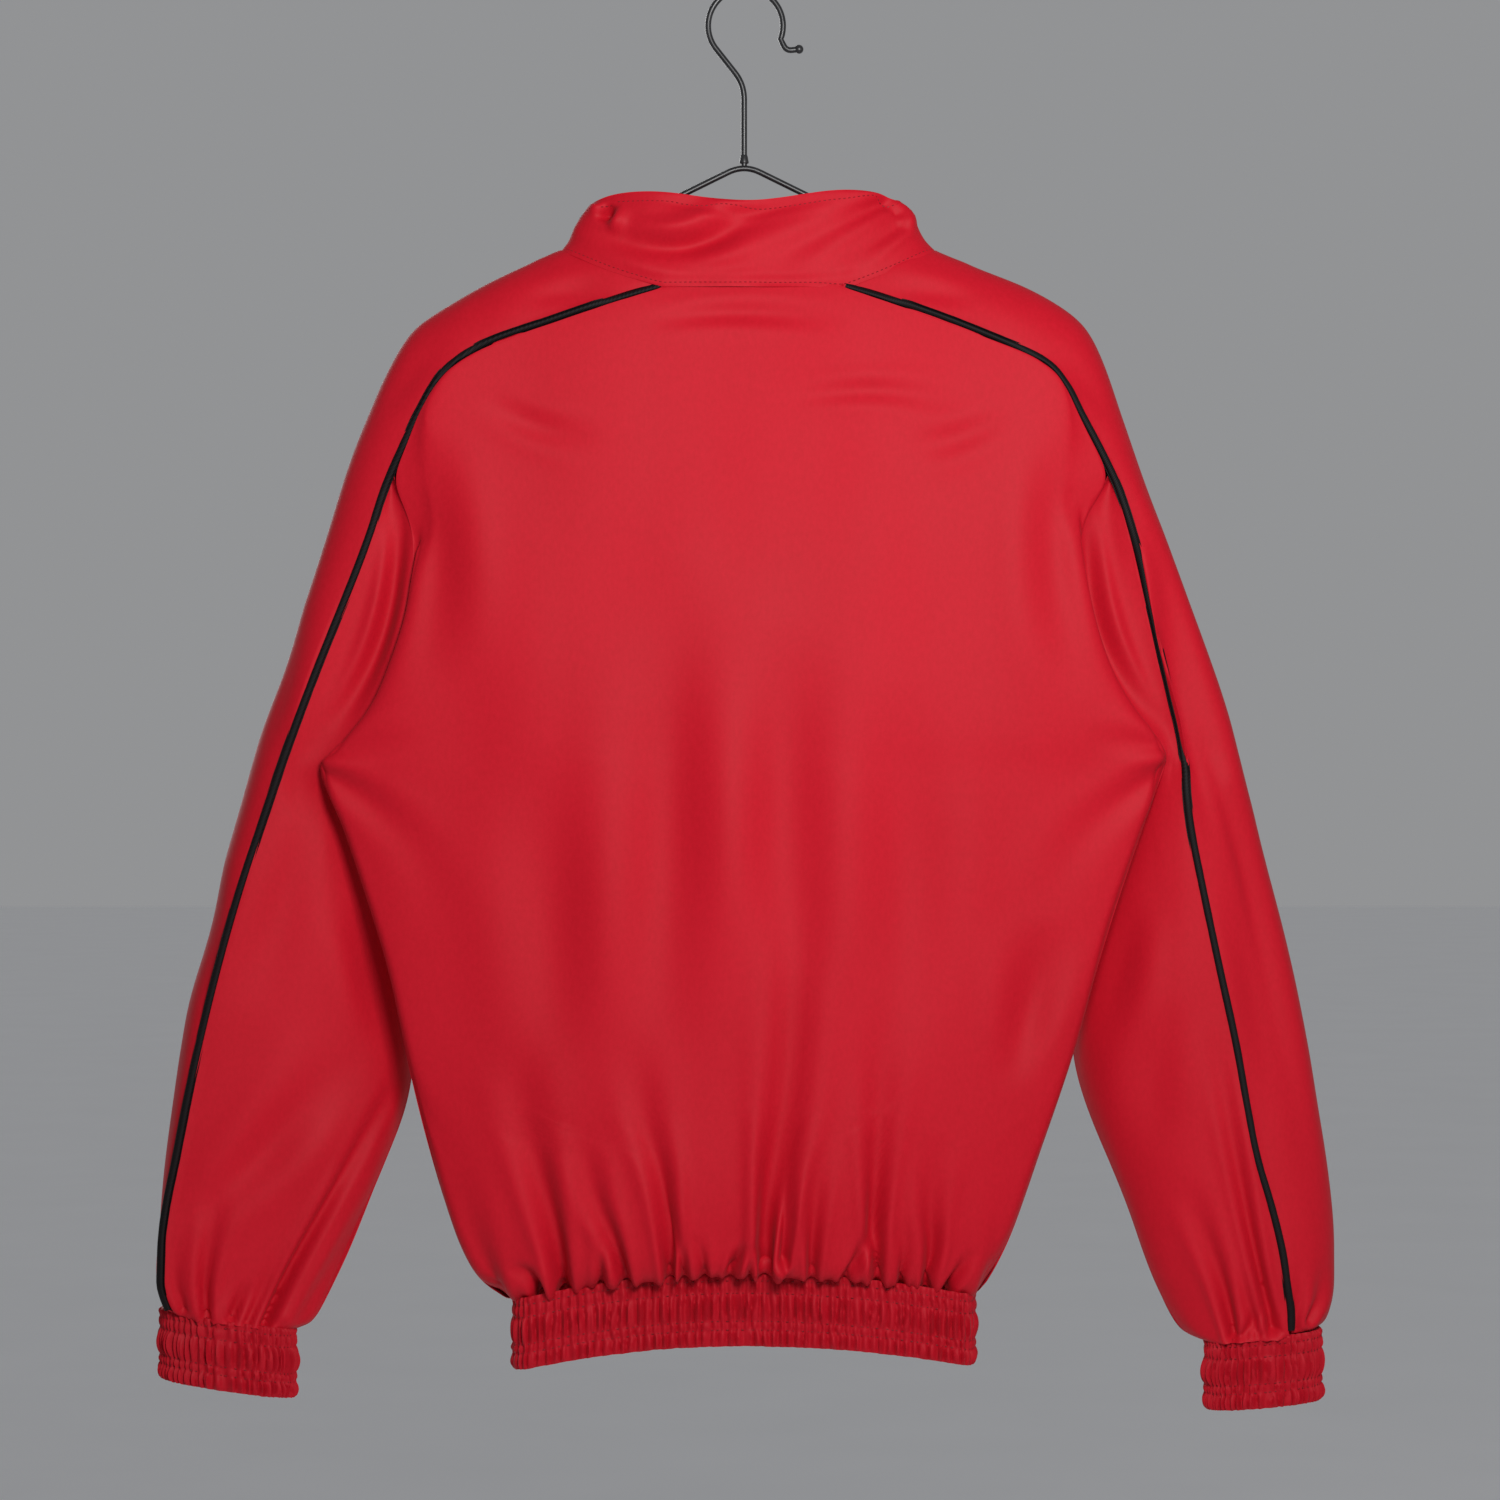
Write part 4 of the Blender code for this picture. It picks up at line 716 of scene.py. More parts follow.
        waves=[(0.5, 0.050, 0.0027, 6.6)], lobes=dict(start=-0.858, end=-0.886, drop=0.0028)),
    "sleeveFrontRight": dict(
        node="sleeve_front_right", facing=lambda face: -face.normal.y, side=-1, flat=(0.15, 0.55), area=0.048,
        creases=[
            ([(1240, 1334), (1224, 1270), (1196, 1190)], 4.3, 3.2, 8.0, 'foot'),
            ([(1274, 1330), (1266, 1270), (1250, 1190)], 4.6, 2.8, 7.0, 'foot'),
            ([(1296, 1326), (1298, 1290), (1290, 1250)], 3.4, 2.6, 5.0, 'foot'),
            ([(1258, 1332), (1250, 1304), (1240, 1280)], 2.6, 2.4, 4.0, 'foot'),
            ([(1260, 1160), (1220, 1080), (1170, 1010)], 4.8, 10.0, 16.0, 'both'),
            ([(1190, 800), (1200, 900), (1220, 1000)], 3.2, 12.0, 18.0, 'both'),
            ([(1110, 520), (1126, 620), (1150, 710)], 4.8, 9.0, 14.0, 'both')],
        waves=[(0.5, 0.050, 0.0027, 8.3)], lobes=dict(start=-0.868, end=-0.896, drop=0.0028)),
    "collar": dict(
        node="collar", facing=awayFromNeck, side=1, flat=(0.48, 0.075), area=0.029, wall=0.0011,
        creases=[
            ([(610, 199), (607, 209), (598, 220)], 9.0, 3.6, 5.0, 'both'),
            ([(623, 203), (618, 217), (606, 231)], -1.6, 4.5, 6.0, 'both'),
            ([(583, 224), (620, 240), (674, 251), (714, 238), (749, 216), (808, 196)],
             6.5, 6.0, 10.0, 'both'),
            ([(640, 226), (690, 226), (730, 208)], -2.4, 6.0, 9.0, 'both'),
            ([(899, 212), (861, 238), (822, 258)], 6.0, 4.2, 6.5, 'foot'),
            ([(893, 203), (856, 220), (806, 240), (768, 262)], 5.6, 4.4, 8.0, 'foot'),
            ([(886, 197), (845, 210), (796, 222)], 4.2, 4.2, 7.0, 'foot'),
            ([(901, 224), (872, 246), (846, 266)], 4.0, 3.8, 5.0, 'foot'),
            ([(640, 264), (700, 270), (760, 260)], 2.2, 5.0, 7.0, 'both'),
            ([(600, 199), (640, 196), (683, 203), (724, 211), (755, 211), (790, 204), (830, 197), (878, 194)],
             0.9, 3.0, 3.0, 'both'),
            ([(585, 256), (612, 267), (648, 277), (690, 281), (755, 281), (830, 280), (870, 271), (905, 257)],
             0.9, 3.0, 3.0, 'both')],
        waves=[(1.0, 0.040, 0.0015, 5.2)]),
}


# the point where an armhole seam leaves the piping, and how the sleeve's upper edge is carried up to it
gusset = dict(x={1: 0.2368, -1: 0.2462}, z=-0.3275, rim=0.0035, short=0.002, lift=0.0055, share=0.92,
              forward=0.0010)
# where the sleeve's inner edge moves behind the body: the height, the reach up and down, and by how much
tuck = dict(row=0.012, share=0.7, widest=0.034, underarm=-0.550, underarmReach=0.060, underarmBy=0.009,
            top=-0.356, topReach=0.045, topBy={"Front": 0.0042, "Back": 0.0026},
            topPush={"Front": 0.0006, "Back": -0.0006})
hemEnds = dict(start=-0.72, over=0.14, left=0.0095, right=0.0065, halfWidth=0.150, most=1.6)


def faceOf(piece):
    return "Front" if "Front" in piece.name else "Back"


def fillGusset(piece, side):
    # carry the sleeve up to the point where the armhole seam leaves the piping
    form = bmesh.new()
    form.from_mesh(piece.data)
    top = max(vert.co.z for vert in form.verts)
    edges = [edge for edge in form.edges if len(edge.link_faces) == 1
             and all(vert.co.z > top - gusset["rim"] for vert in edge.verts)]
    if edges:
        made = bmesh.ops.extrude_edge_only(form, edges=edges)["geom"]
        for vert in [item for item in made if isinstance(item, bmesh.types.BMVert)]:
            target = Vector((side * gusset["x"][side] - side * gusset["short"], vert.co.y,
                             gusset["z"] + gusset["lift"]))
            vert.co = vert.co.lerp(target, gusset["share"])
            if faceOf(piece) == "Front":
                vert.co.y += gusset["forward"]
        bmesh.ops.recalc_face_normals(form, faces=form.faces)
        total = sum((face.normal * face.calc_area() for face in form.faces), Vector())
        wanted = 1 if faceOf(piece) == "Back" else -1
        if total.y * wanted < 0:
            bmesh.ops.reverse_faces(form, faces=form.faces)
    form.to_mesh(piece.data)
    form.free()


def tuckUnderarm(piece, side):
    # the inner edge of the sleeve lies a little behind the side of the body, so no light shows between them
    inner, outer = {}, {}
    for vert in piece.data.vertices:
        row = round(vert.co.z / tuck["row"])
        inner[row] = min(inner.get(row, 9.0), vert.co.x * side)
        outer[row] = max(outer.get(row, -9.0), vert.co.x * side)
    for vert in piece.data.vertices:
        row = round(vert.co.z / tuck["row"])
        width = min(max(outer[row] - inner[row], 0.001) * tuck["share"], tuck["widest"])
        near = 1 - (vert.co.x * side - inner[row]) / width
        if near > 0:
            near = min(near * 1.4, 1.0)
            level = (vert.co.z - tuck["underarm"]) / tuck["underarmReach"]
            vert.co.x -= side * tuck["underarmBy"] * max(0.0, 1 - level * level) ** 1.5 * near
            # and so does the top of the armhole
            level = (vert.co.z - tuck["top"]) / tuck["topReach"]
            vert.co.x -= side * tuck["topBy"][faceOf(piece)] * max(0.0, 1 - level * level) * near
            vert.co.y += tuck["topPush"][faceOf(piece)] * max(0.0, 1 - level * level)


def hemSag(x, z):
    # the two ends of the hem band hang lower than its middle, the wearer's left a little more
    ends = hemEnds
    level = min(max((ends["start"] - z) / ends["over"], 0.0), 1.0)
    fall = ends["left"] if x > 0 else ends["right"]
    return -fall * min((x / ends["halfWidth"]) ** 2, ends["most"]) * level * level * (3 - 2 * level)


def sagHem(piece):
    if piece.name.startswith(("back", "front")):
        for vert in piece.data.vertices:
            vert.co.z += hemSag(vert.co.x, vert.co.z)


collarFoot = dict(seam=-0.140, over=0.020, out=0.0012, lap=0.0016, cornerLap=0.0030, cornerX=0.086,
                  cornerReach=0.030, frontX=0.100, frontReach=0.034, frontFrom=-0.196, frontOver=0.012,
                  frontOut=0.0012, frontLap=0.0045)


def lapCollar(piece):
    foot = collarFoot
    for vert in piece.data.vertices:
        back, front = vert.co.y > 0, vert.co.y < 0
        x = abs(vert.co.x)
        # the foot of the collar laps a little over the neck seam, most where the shoulders begin
        lap = min(max((foot["seam"] - vert.co.z) / foot["over"], 0.0), 1.0) if back else 0.0
        corner = max(0.0, 1 - ((x - foot["cornerX"]) / foot["cornerReach"]) ** 2)
        vert.co.y += foot["out"] * lap
        vert.co.z -= (foot["lap"] + foot["cornerLap"] * corner) * lap
        # at the front it covers the corner where strip and panel meet
        lap = max(0.0, 1 - ((x - foot["frontX"]) / foot["frontReach"]) ** 2) if front else 0.0
        lap *= min(max((foot["frontFrom"] - vert.co.z) / foot["frontOver"], 0.0), 1.0)
        vert.co.y -= foot["frontOut"] * lap
        vert.co.z -= foot["frontLap"] * lap


skins = {}
for name, bit in clothBits.items():
    piece = outerSkin(bit["node"], name + "Cloth", bit["facing"])
    if name.startswith("sleeve"):
        armSide = 1 if name.endswith("Left") else -1
        fillGusset(piece, armSide)
        tuckUnderarm(piece, armSide)
    if name == "collar":
        easeKinks(piece, 4)
        lapCollar(piece)
    useModifier(piece, 'SUBSURF', levels=3, render_levels=3, boundary_smooth='PRESERVE_CORNERS')
    pressCreases(piece, bit["creases"], bit["side"], bit["waves"], bit.get("lobes"))
    sagHem(piece)
    skins[name] = piece
print("cloth skins creased")

# rows of stitches follow the skins as they are before they get their thickness
stitchInset = dict(collarUpper=0.0066, collarLower=0.0030, zip=0.0055)
collarEdges = edgeRuns(skins["collar"], lambda spot: abs(spot.x) > 0.0052 or spot.y > -0.03)[:2]
collarEdges.sort(key=lambda run: -sum(spot.z for spot in run) / len(run))
zipEdges = {side: edgeRuns(skins["front" + sideNames[side].title()],
                           lambda spot: abs(spot.x) < 0.0053 and spot.z < -0.2525)[0] for side in (1, -1)}
surfaces = {name: surfaceOf(piece) for name, piece in skins.items()}

for name, bit in clothBits.items():
    piece = skins[name]
    useModifier(piece, 'SOLIDIFY', thickness=bit.get("wall", clothWall), offset=-1.0, use_even_offset=False)
    piece.data.materials.clear()
    piece.data.materials.append(redTricot)
    makeActive(piece)
    bpy.ops.object.shade_smooth_by_angle(angle=radians(60))
    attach(piece, "jacket")
    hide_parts(bit["node"])
print("cloth given its thickness")

collarStitches = topstitch("collarTopstitch", [
    (collarEdges[0], stitchInset["collarUpper"], surfaces["collar"]),
    (collarEdges[1], stitchInset["collarLower"], surfaces["collar"])])
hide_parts("collar")
zipStitches = topstitch("zipTopstitch", [
    (zipEdges[side], stitchInset["zip"], surfaces["front" + sideNames[side].title()]) for side in (1, -1)])
print("topstitching sewn")


# shirred elastic: hem band and cuffs

hemLook = dict(halfWidth=0.1525, halfDepth=0.0260, endRadius=0.010, meanRadius=0.018, zipGap=0.0045,
               height=0.0475, seamDrop=-0.8595, lap=0.0006, rise=0.0085, bow=0.0012, evenOut=0.12,
               belowSag=-0.87, gathers=122, wall=0.0008, seed=1.0)
cuffLook = {1: dict(x=0.3442, drop=-0.8842, halfWidth=0.0435, halfDepth=0.0215, tilt=0.150, height=0.0465,
                    gathers=56, wall=0.0008, seed=3.0),
            -1: dict(x=0.3461, drop=-0.8945, halfWidth=0.0372, halfDepth=0.0235, tilt=0.090, height=0.0470,
                     gathers=52, wall=0.0008, seed=8.0)}
# the edges of the five zones as shares of the height, with a row of elastic stitches at each inner one, and
# how far the cloth puffs out in each zone. The two rows of the seam allowance turn in under the gathers, each
# by its first number, at its second number below the seam
shirring = dict(rows=(0.0, 0.105, 0.275, 0.655, 0.775, 1.0), puff=(0.0013, 0.0016, 0.0032, 0.0015, 0.0026),
                allowance=((0.012, 0.0016), (0.0048, 0.0006)), ribColumns=6, levels=34, slip=0.40, shake=0.25,
                lift=0.0001, ribDepth=0.0011, edgeStray=0.0004, stitchSteps=360)


def hemSpot(turn, drop, out):
    # turn runs from 0 at the zip over the wearer's left to 1
    look = hemLook
    if turn > 0.5:
        mirrored = hemSpot(1 - turn, drop, out)
        change = hemSag(-mirrored.x, look["belowSag"]) - hemSag(mirrored.x, look["belowSag"])
        return Vector((-mirrored.x, mirrored.y, mirrored.z + change))
    straight = look["halfWidth"] - look["endRadius"]
    arc = pi * look["meanRadius"]
    length = 4 * straight + 2 * arc - 2 * look["zipGap"]
    run = turn * length
    depth = look["halfDepth"]
    if run < straight - look["zipGap"]:
        x, y, nx, ny = look["zipGap"] + run, -depth, 0.0, -1.0
    elif run < straight - look["zipGap"] + arc:
        angle = -pi / 2 + pi * (run - straight + look["zipGap"]) / arc
        x, y = straight + look["endRadius"] * cos(angle), depth * sin(angle)
        nx, ny = cos(angle), sin(angle)
    else:
        x, y, nx, ny = length / 2 - run, depth, 0.0, 1.0
    flat = 1 - (x / look["halfWidth"]) ** 2
    if abs(ny) > 0.99:
        y += look["bow"] * flat * ny
    lift = look["rise"] * max(0.0, flat) * (1 - look["evenOut"] * drop / look["height"])
    z = look["seamDrop"] + lift - look["lap"] - drop + hemSag(x, look["belowSag"])
    return Vector((x + nx * out, y + ny * out, z))


def cuffSpot(side, turn, drop, out):
    look = cuffLook[side]
    c, s = cos(2 * pi * turn), sin(2 * pi * turn)
    x = (look["halfWidth"] + out) * abs(c) ** 0.8 * (1 if c >= 0 else -1)
    y = (look["halfDepth"] + out) * abs(s) ** 0.8 * (1 if s >= 0 else -1)
    return Vector((side * look["x"] + x, y, look["drop"] + look["tilt"] * x * side - drop))


def shirred(name, spot, look, closed):
    size = shirring
    gathers, height = look["gathers"], look["height"]
    columns, levels = gathers * size["ribColumns"], size["levels"]
    rows, puffs = size["rows"], size["puff"]
    points, faces = [], []
    for inward, drop in size["allowance"]:
        for i in range(columns + (0 if closed else 1)):
            points.append(spot(i / columns, drop, -inward))
    for j in range(levels + 1):
        v = j / levels
        zone = max(i for i in range(5) if rows[i] <= v + 1e-9)
        t = (v - rows[zone]) / (rows[zone + 1] - rows[zone])
        for i in range(columns + (0 if closed else 1)):
            turn = i / columns
            around = Vector((cos(2 * pi * turn) * 9, sin(2 * pi * turn) * 9, look["seed"] + zone * 3.3))
            slip = size["slip"] * noise.noise(around + Vector((0, 0, v * 2.2)))
            slip += size["shake"] * noise.noise(around * 3.0)
            ribs = (0.5 - 0.5 * cos(2 * pi * (gathers * turn + slip))) ** 0.8
            uneven = 0.85 + 0.9 * noise.noise(around * 4.1 + Vector((3, 1, 0)))
            bulge = sin(pi * min(max(t, 0.0), 1.0)) ** 0.55
            puff = puffs[zone] * bulge * (0.06 + 0.94 * ribs * max(uneven, 0.3))
            out = size["lift"] + size["ribDepth"] * ribs + puff
            drop = v * height + size["edgeStray"] * noise.noise(around * 2.0 + Vector((0, 5, v * 6)))
            points.append(spot(turn, drop, out))
    width = columns if closed else columns + 1
    for j in range(levels + 2):
        for i in range(columns):
            a, b = j * width + i, j * width + (i + 1) % width
            faces.append((a, a + width, b + width, b))
    # the darker tricot here is painted shade
    piece = meshPiece(name, points, faces, shirredTricotPaintedShade, smooth=0)
    turnOutward(piece)
    middleSpot = sum((Vector(point) for point in points), Vector()) / len(points)
    outward = sum(face.normal.xy.dot((face.center - middleSpot).xy) * face.area
                  for face in piece.data.polygons)
    if outward < 0:
        piece.data.flip_normals()
    useModifier(piece, 'SOLIDIFY', thickness=look["wall"], offset=-1.0, use_even_offset=False)
    makeActive(piece)
    bpy.ops.object.shade_smooth_by_angle(angle=radians(65))
    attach(piece, "jacket")
    return piece


def elasticStitches(name, spot, height):
    points, faces = [], []
    for v in shirring["rows"][1:5]:
        steps = shirring["stitchSteps"]
        line = [spot(i / steps, v * height, shirring["ribDepth"]) for i in range(steps + 1)]
        centre = sum(line, Vector()) / len(line)

        def away(place):
            flat = Vector((place.x - centre.x, (place.y - centre.y) * 5.0, 0.0))
            return flat.normalized()
        stitchRow(line, away, points, faces)
    piece = meshPiece(name, points, faces, redThreadPaintedShade, smooth=0)
    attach(piece, "jacket")
    return piece


hemBand = shirred("hemBandShirred", hemSpot, hemLook, closed=False)
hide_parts("hem_band")
hemStitches = elasticStitches("hemBandStitches", hemSpot, hemLook["height"])
for side in (1, -1):
    word = sideNames[side].title()
    look = cuffLook[side]

    def around(turn, drop, out, side=side):
        return cuffSpot(side, turn, drop, out)
    cuffPiece = shirred("cuffShirred" + word, around, look, closed=True)
    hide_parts("cuff_" + sideNames[side])
    cuffStitches = elasticStitches("cuffStitches" + word, around, look["height"])
print("hem band and cuffs shirred")


# piping: a round cord with its flange under the seam

pipingLook = dict(cadRadius=0.0016, halfWidth=0.00245, height=0.00165, sides=12, step=0.004, overrun=0.009,
                  cuffOverrun=0.001, flangeHalfWidth=0.0031, flangeDepth=0.00100, flangeWall=0.0004)


def pipingRun(node, facing):
    # middles of the CAD tube's rings, each with its way out of the cloth
    form = bmesh.new()
    form.from_mesh(nodes[node].data)
    bmesh.ops.remove_doubles(form, verts=form.verts, dist=cadCloth["sameSpot"])
    side = pipingLook["cadRadius"] * sqrt(2)
    waiting = set(form.verts)
    rings = []
    while waiting:
        queue = [waiting.pop()]
        ring = []
        while queue:
            vert = queue.pop()
            ring.append(vert)
            for edge in vert.link_edges:
                other = edge.other_vert(vert)
                if other in waiting and abs(edge.calc_length() - side) < 0.00001:
                    waiting.remove(other)
                    queue.append(other)
        if len(ring) == 4:
            centre = sum((vert.co for vert in ring), Vector()) / 4
            out = max((vert.co - centre for vert in ring), key=lambda way: way.y * facing)
            rings.append((centre, out.normalized()))
    form.free()
    return sorted(rings, key=lambda ring: -ring[0].z)


def flowing(rings, step):
    # an even, smooth line through the rings
    line = []
    for i in range(len(rings) - 1):
        spots = [rings[min(max(k, 0), len(rings) - 1)][0] for k in (i - 1, i, i + 1, i + 2)]
        steps = max(1, ceil((spots[2] - spots[1]).length / step))
        for n in range(steps):
            t = n / steps
            a, b, c, d = spots
            point = 0.5 * ((2 * b) + (c - a) * t + (2 * a - 5 * b + 4 * c - d) * t * t
                           + (3 * b - a - 3 * c + d) * t ** 3)
            line.append((point, rings[i][1].lerp(rings[i + 1][1], t).normalized()))
    return line + [rings[-1]]


def tube(line, section, points, faces):
    # the section carried along the line, closed at both ends, and a little uneven as sewn things are
    base = len(points)
    count = len(section)
    for i, (point, out) in enumerate(line):
        along = (line[min(i + 1, len(line) - 1)][0] - line[max(i - 1, 0)][0]).normalized()
        out = (out - along * out.dot(along)).normalized()
        across = along.cross(out)
        swell = 1 + 0.05 * noise.noise(point * 160)
        points += [point + across * a * swell + out * b * swell for a, b in section]
    for i in range(len(line) - 1):
        for j in range(count):
            a, b = base + i * count + j, base + i * count + (j + 1) % count
            faces.append((a, b, b + count, a + count))
    faces.append(tuple(base + j for j in reversed(range(count))))
    faces.append(tuple(base + (len(line) - 1) * count + j for j in range(count)))


for word, facing in (("back_left", 1), ("back_right", 1), ("front_left", -1), ("front_right", -1)):
    look = pipingLook
    rings = pipingRun("piping_" + word, facing)
    # both ends run on under the collar and the cuff
    for end, before, reach in ((0, 1, look["overrun"]), (-1, -2, look["cuffOverrun"])):
        onward = (rings[end][0] - rings[before][0]).normalized() * reach
        rings.insert(0 if end == 0 else len(rings), (rings[end][0] + onward, rings[end][1]))
    line = flowing(rings, look["step"])
    turns = [2 * pi * j / look["sides"] for j in range(look["sides"])]
    cordSection = [(look["halfWidth"] * cos(a), look["height"] * sin(a)) for a in turns]
    wide, deep, thin = look["flangeHalfWidth"], look["flangeDepth"], look["flangeWall"]
    flangeSection = [(-wide, -deep), (wide, -deep), (wide, -deep - thin), (-wide, -deep - thin)]
    points, faces = [], []
    tube(line, cordSection, points, faces)
    tube(line, flangeSection[::-1], points, faces)
    name = "piping" + "".join(part.title() for part in word.split("_"))
    piece = meshPiece(name, points, faces, blackPiping)
    turnOutward(piece)
    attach(piece, "jacket")
    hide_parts("piping_" + word)
print("piping laid in the seams")


# zip: tapes, teeth, slider with its pull tab, and the box at the foot

zipLook = dict(chainOut=0.0004, chainDepth=0.0022, step=0.004, pitch=0.0028, firstTooth=0.001,
               tooth=(0.0034, 0.0020, 0.00120), toothBevel=0.00022, toothSink=0.0009, reach=0.0012,
               tapeFrom=0.0028, tapeTo=0.0120, tapeDepth=0.0021, tapeWall=0.0008,
               cord=((0.0010, 0.0003), (0.0016, 0.0)))
# each block: its name, its size, where it sits from the slider's middle or the chain's foot, its bevel,
# the bevel's steps and how narrow its lower end is
sliderLook = dict(head=(0.0, -0.0487, -0.1960), pivot=(0.0, -0.0526996, -0.1930), crownUp=(0, 0.0004, 0),
                  crown=dict(major_radius=0.0019, minor_radius=0.00045, major_segments=28, minor_segments=10),
                  blocks=(("sliderFace", (0.0080, 0.0010, 0.0112), (0, -0.0024, 0), 0.0004, 3, 0.72),
                          ("sliderBack", (0.0080, 0.0010, 0.0112), (0, 0.0036, 0), 0.0004, 3, 0.72),
                          ("sliderPost", (0.0018, 0.0062, 0.0026), (0, 0.0006, 0.0038), 0.0003, 2, 1.0)))
zipBoxBlocks = (("zipBoxBody", (0.0080, 0.0026, 0.0090), (0, -0.0011, 0.0050), 0.0006, 3, 1.0),
                ("zipBoxPin", (0.0016, 0.0018, 0.0060), (0.0016, -0.0008, 0.0120), 0.0004, 2, 1.0))
# plates of the pull tab: size, how far below the tab's upper end the middle is, and corner radius
tabLook = dict(overPivot=0.0006, plate=((0.0058, 0.0012, 0.0300), 0.0150, 0.0020),
               slot=((0.0034, 0.0040, 0.0046), 0.0036, 0.0008),
               window=((0.0026, 0.0040, 0.0090), 0.0225, 0.0012), bevel=0.0002)


def zipLine():
    # where the cloth's edges meet over the CAD chain, each point with its way out of the jacket
    form = bmesh.new()
    form.from_mesh(nodes["zip_chain"].data)
    bmesh.ops.remove_doubles(form, verts=form.verts, dist=cadCloth["sameSpot"])
    rings = []
    for edge in form.edges:
        inner, outer = sorted(edge.verts, key=lambda vert: -vert.co.y)
        if min(inner.co.x, outer.co.x) > 0.001 and abs(edge.calc_length() - zipLook["chainDepth"]) < 0.00003:
            out = (outer.co - inner.co).normalized()
            spot = outer.co + out * zipLook["chainOut"]
            rings.append((Vector((0.0, spot.y, spot.z)), out))
    form.free()
    return sorted(rings, key=lambda ring: -ring[0].z)


def blockPiece(name, size, spot, material, bevel, segments, taper):
    bpy.ops.mesh.primitive_cube_add(size=1.0, location=spot)
    piece = bpy.context.object
    piece.name = name
    piece.scale = size
    bpy.ops.object.transform_apply(location=True, rotation=False, scale=True)
    if taper != 1.0:
        bpy.ops.object.mode_set(mode='EDIT')
        bpy.ops.mesh.select_all(action='DESELECT')
        bpy.ops.object.mode_set(mode='OBJECT')
        for vert in piece.data.vertices:
            vert.select = vert.co.z < spot[2]
        bpy.ops.object.mode_set(mode='EDIT')
        bpy.ops.transform.resize(value=(taper, 1.0, 1.0), center_override=spot)
        bpy.ops.object.mode_set(mode='OBJECT')
    useModifier(piece, 'BEVEL', width=bevel, segments=segments, limit_method='ANGLE')
    piece.data.materials.append(material)
    bpy.ops.object.shade_smooth_by_angle(angle=radians(35))
    return piece


def joined(name, pieces):
    deselectAll()
    for piece in pieces:
        piece.select_set(True)
    bpy.context.view_layer.objects.active = pieces[0]
    bpy.ops.object.join()
    pieces[0].name = name
    bpy.ops.object.transform_apply(location=True, rotation=True, scale=True)
    return pieces[0]


zipRun = flowing(zipLine(), zipLook["step"])
zipLength = sum((after[0] - before[0]).length for before, after in zip(zipRun, zipRun[1:]))
for side in (1, -1):
    look = zipLook
    near, far, deep, wall = look["tapeFrom"], look["tapeTo"], look["tapeDepth"], look["tapeWall"]
    # a woven band with a corded inner edge
    section = [(near, -deep)] + [(near + a, -deep + b) for a, b in look["cord"]]
    section += [(far, -deep), (far, -deep - wall), (near, -deep - wall)]
    if side > 0:
        section = [(-a, b) for a, b in reversed(section)]
    points, faces = [], []
    tube(zipRun, section, points, faces)
    tapePiece = meshPiece("zipTape" + sideNames[side].title(), points, faces, zipTapeRed, smooth=30)
    turnOutward(tapePiece)
    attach(tapePiece, "jacket")
    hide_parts("zip_tape_" + sideNames[side])

firstTooth = blockPiece("zipTeeth", zipLook["tooth"], (0.0, 0.0, 0.0), zipBlack,
                        zipLook["toothBevel"], 1, 1.0)
teeth = []
travelled, due = 0.0, zipLook["firstTooth"]
for before, after in zip(zipRun, zipRun[1:]):
    step = (after[0] - before[0]).length
    while due <= travelled + step:
        t = (due - travelled) / step
        spot = before[0].lerp(after[0], t)
        out = before[1].lerp(after[1], t).normalized()
        along = (after[0] - before[0]).normalized()
        side = 1 if len(teeth) % 2 else -1
        tooth = firstTooth.copy()
        tooth.data = firstTooth.data.copy()
        bpy.context.collection.objects.link(tooth)
        turn = Matrix((Vector((1, 0, 0)), -out, -along)).transposed().to_4x4()
        centre = spot + Vector((side * zipLook["reach"], 0, 0))
        centre -= out * (zipLook["chainOut"] + zipLook["toothSink"])
        tooth.matrix_world = Matrix.Translation(centre) @ turn
        teeth.append(tooth)
        due += zipLook["pitch"] / 2
    travelled += step
bpy.data.objects.remove(firstTooth, do_unlink=True)
zipTeeth = joined("zipTeeth", teeth)
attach(zipTeeth, "jacket")
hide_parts("zip_chain")

head, pivot = Vector(sliderLook["head"]), Vector(sliderLook["pivot"])
bpy.ops.mesh.primitive_torus_add(location=pivot + Vector(sliderLook["crownUp"]),
                                 rotation=(0.0, radians(90), 0.0), **sliderLook["crown"])
crown = bpy.context.object
crown.data.materials.append(zipSteel)
bpy.ops.object.shade_smooth()
zipSlider = joined("zipSlider", [blockPiece(name, size, head + Vector(spot), zipSteel, *rest)
                                 for name, size, spot, *rest in sliderLook["blocks"]] + [crown])
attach(zipSlider, "jacket")
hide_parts("zip_slider")


def roundedPlate(name, size, spot, corner, material):
    # a plate whose four corners, seen from the front, are rounded
    bpy.ops.mesh.primitive_cube_add(size=1.0, location=spot)
    piece = bpy.context.object
    piece.name = name
    piece.scale = size
    bpy.ops.object.transform_apply(location=True, rotation=False, scale=True)
    bpy.ops.object.mode_set(mode='EDIT')
    bpy.ops.mesh.select_all(action='DESELECT')
    bpy.ops.object.mode_set(mode='OBJECT')
    mesh = piece.data
    for edge in mesh.edges:
        a, b = (mesh.vertices[i].co for i in edge.vertices)
        edge.select = abs(a.y - b.y) > size[1] * 0.5
    bpy.ops.object.mode_set(mode='EDIT')
    bpy.ops.mesh.select_mode(type='EDGE')
    bpy.ops.mesh.bevel(offset=corner, segments=6)
    bpy.ops.object.mode_set(mode='OBJECT')
    mesh.materials.append(material)
    return piece


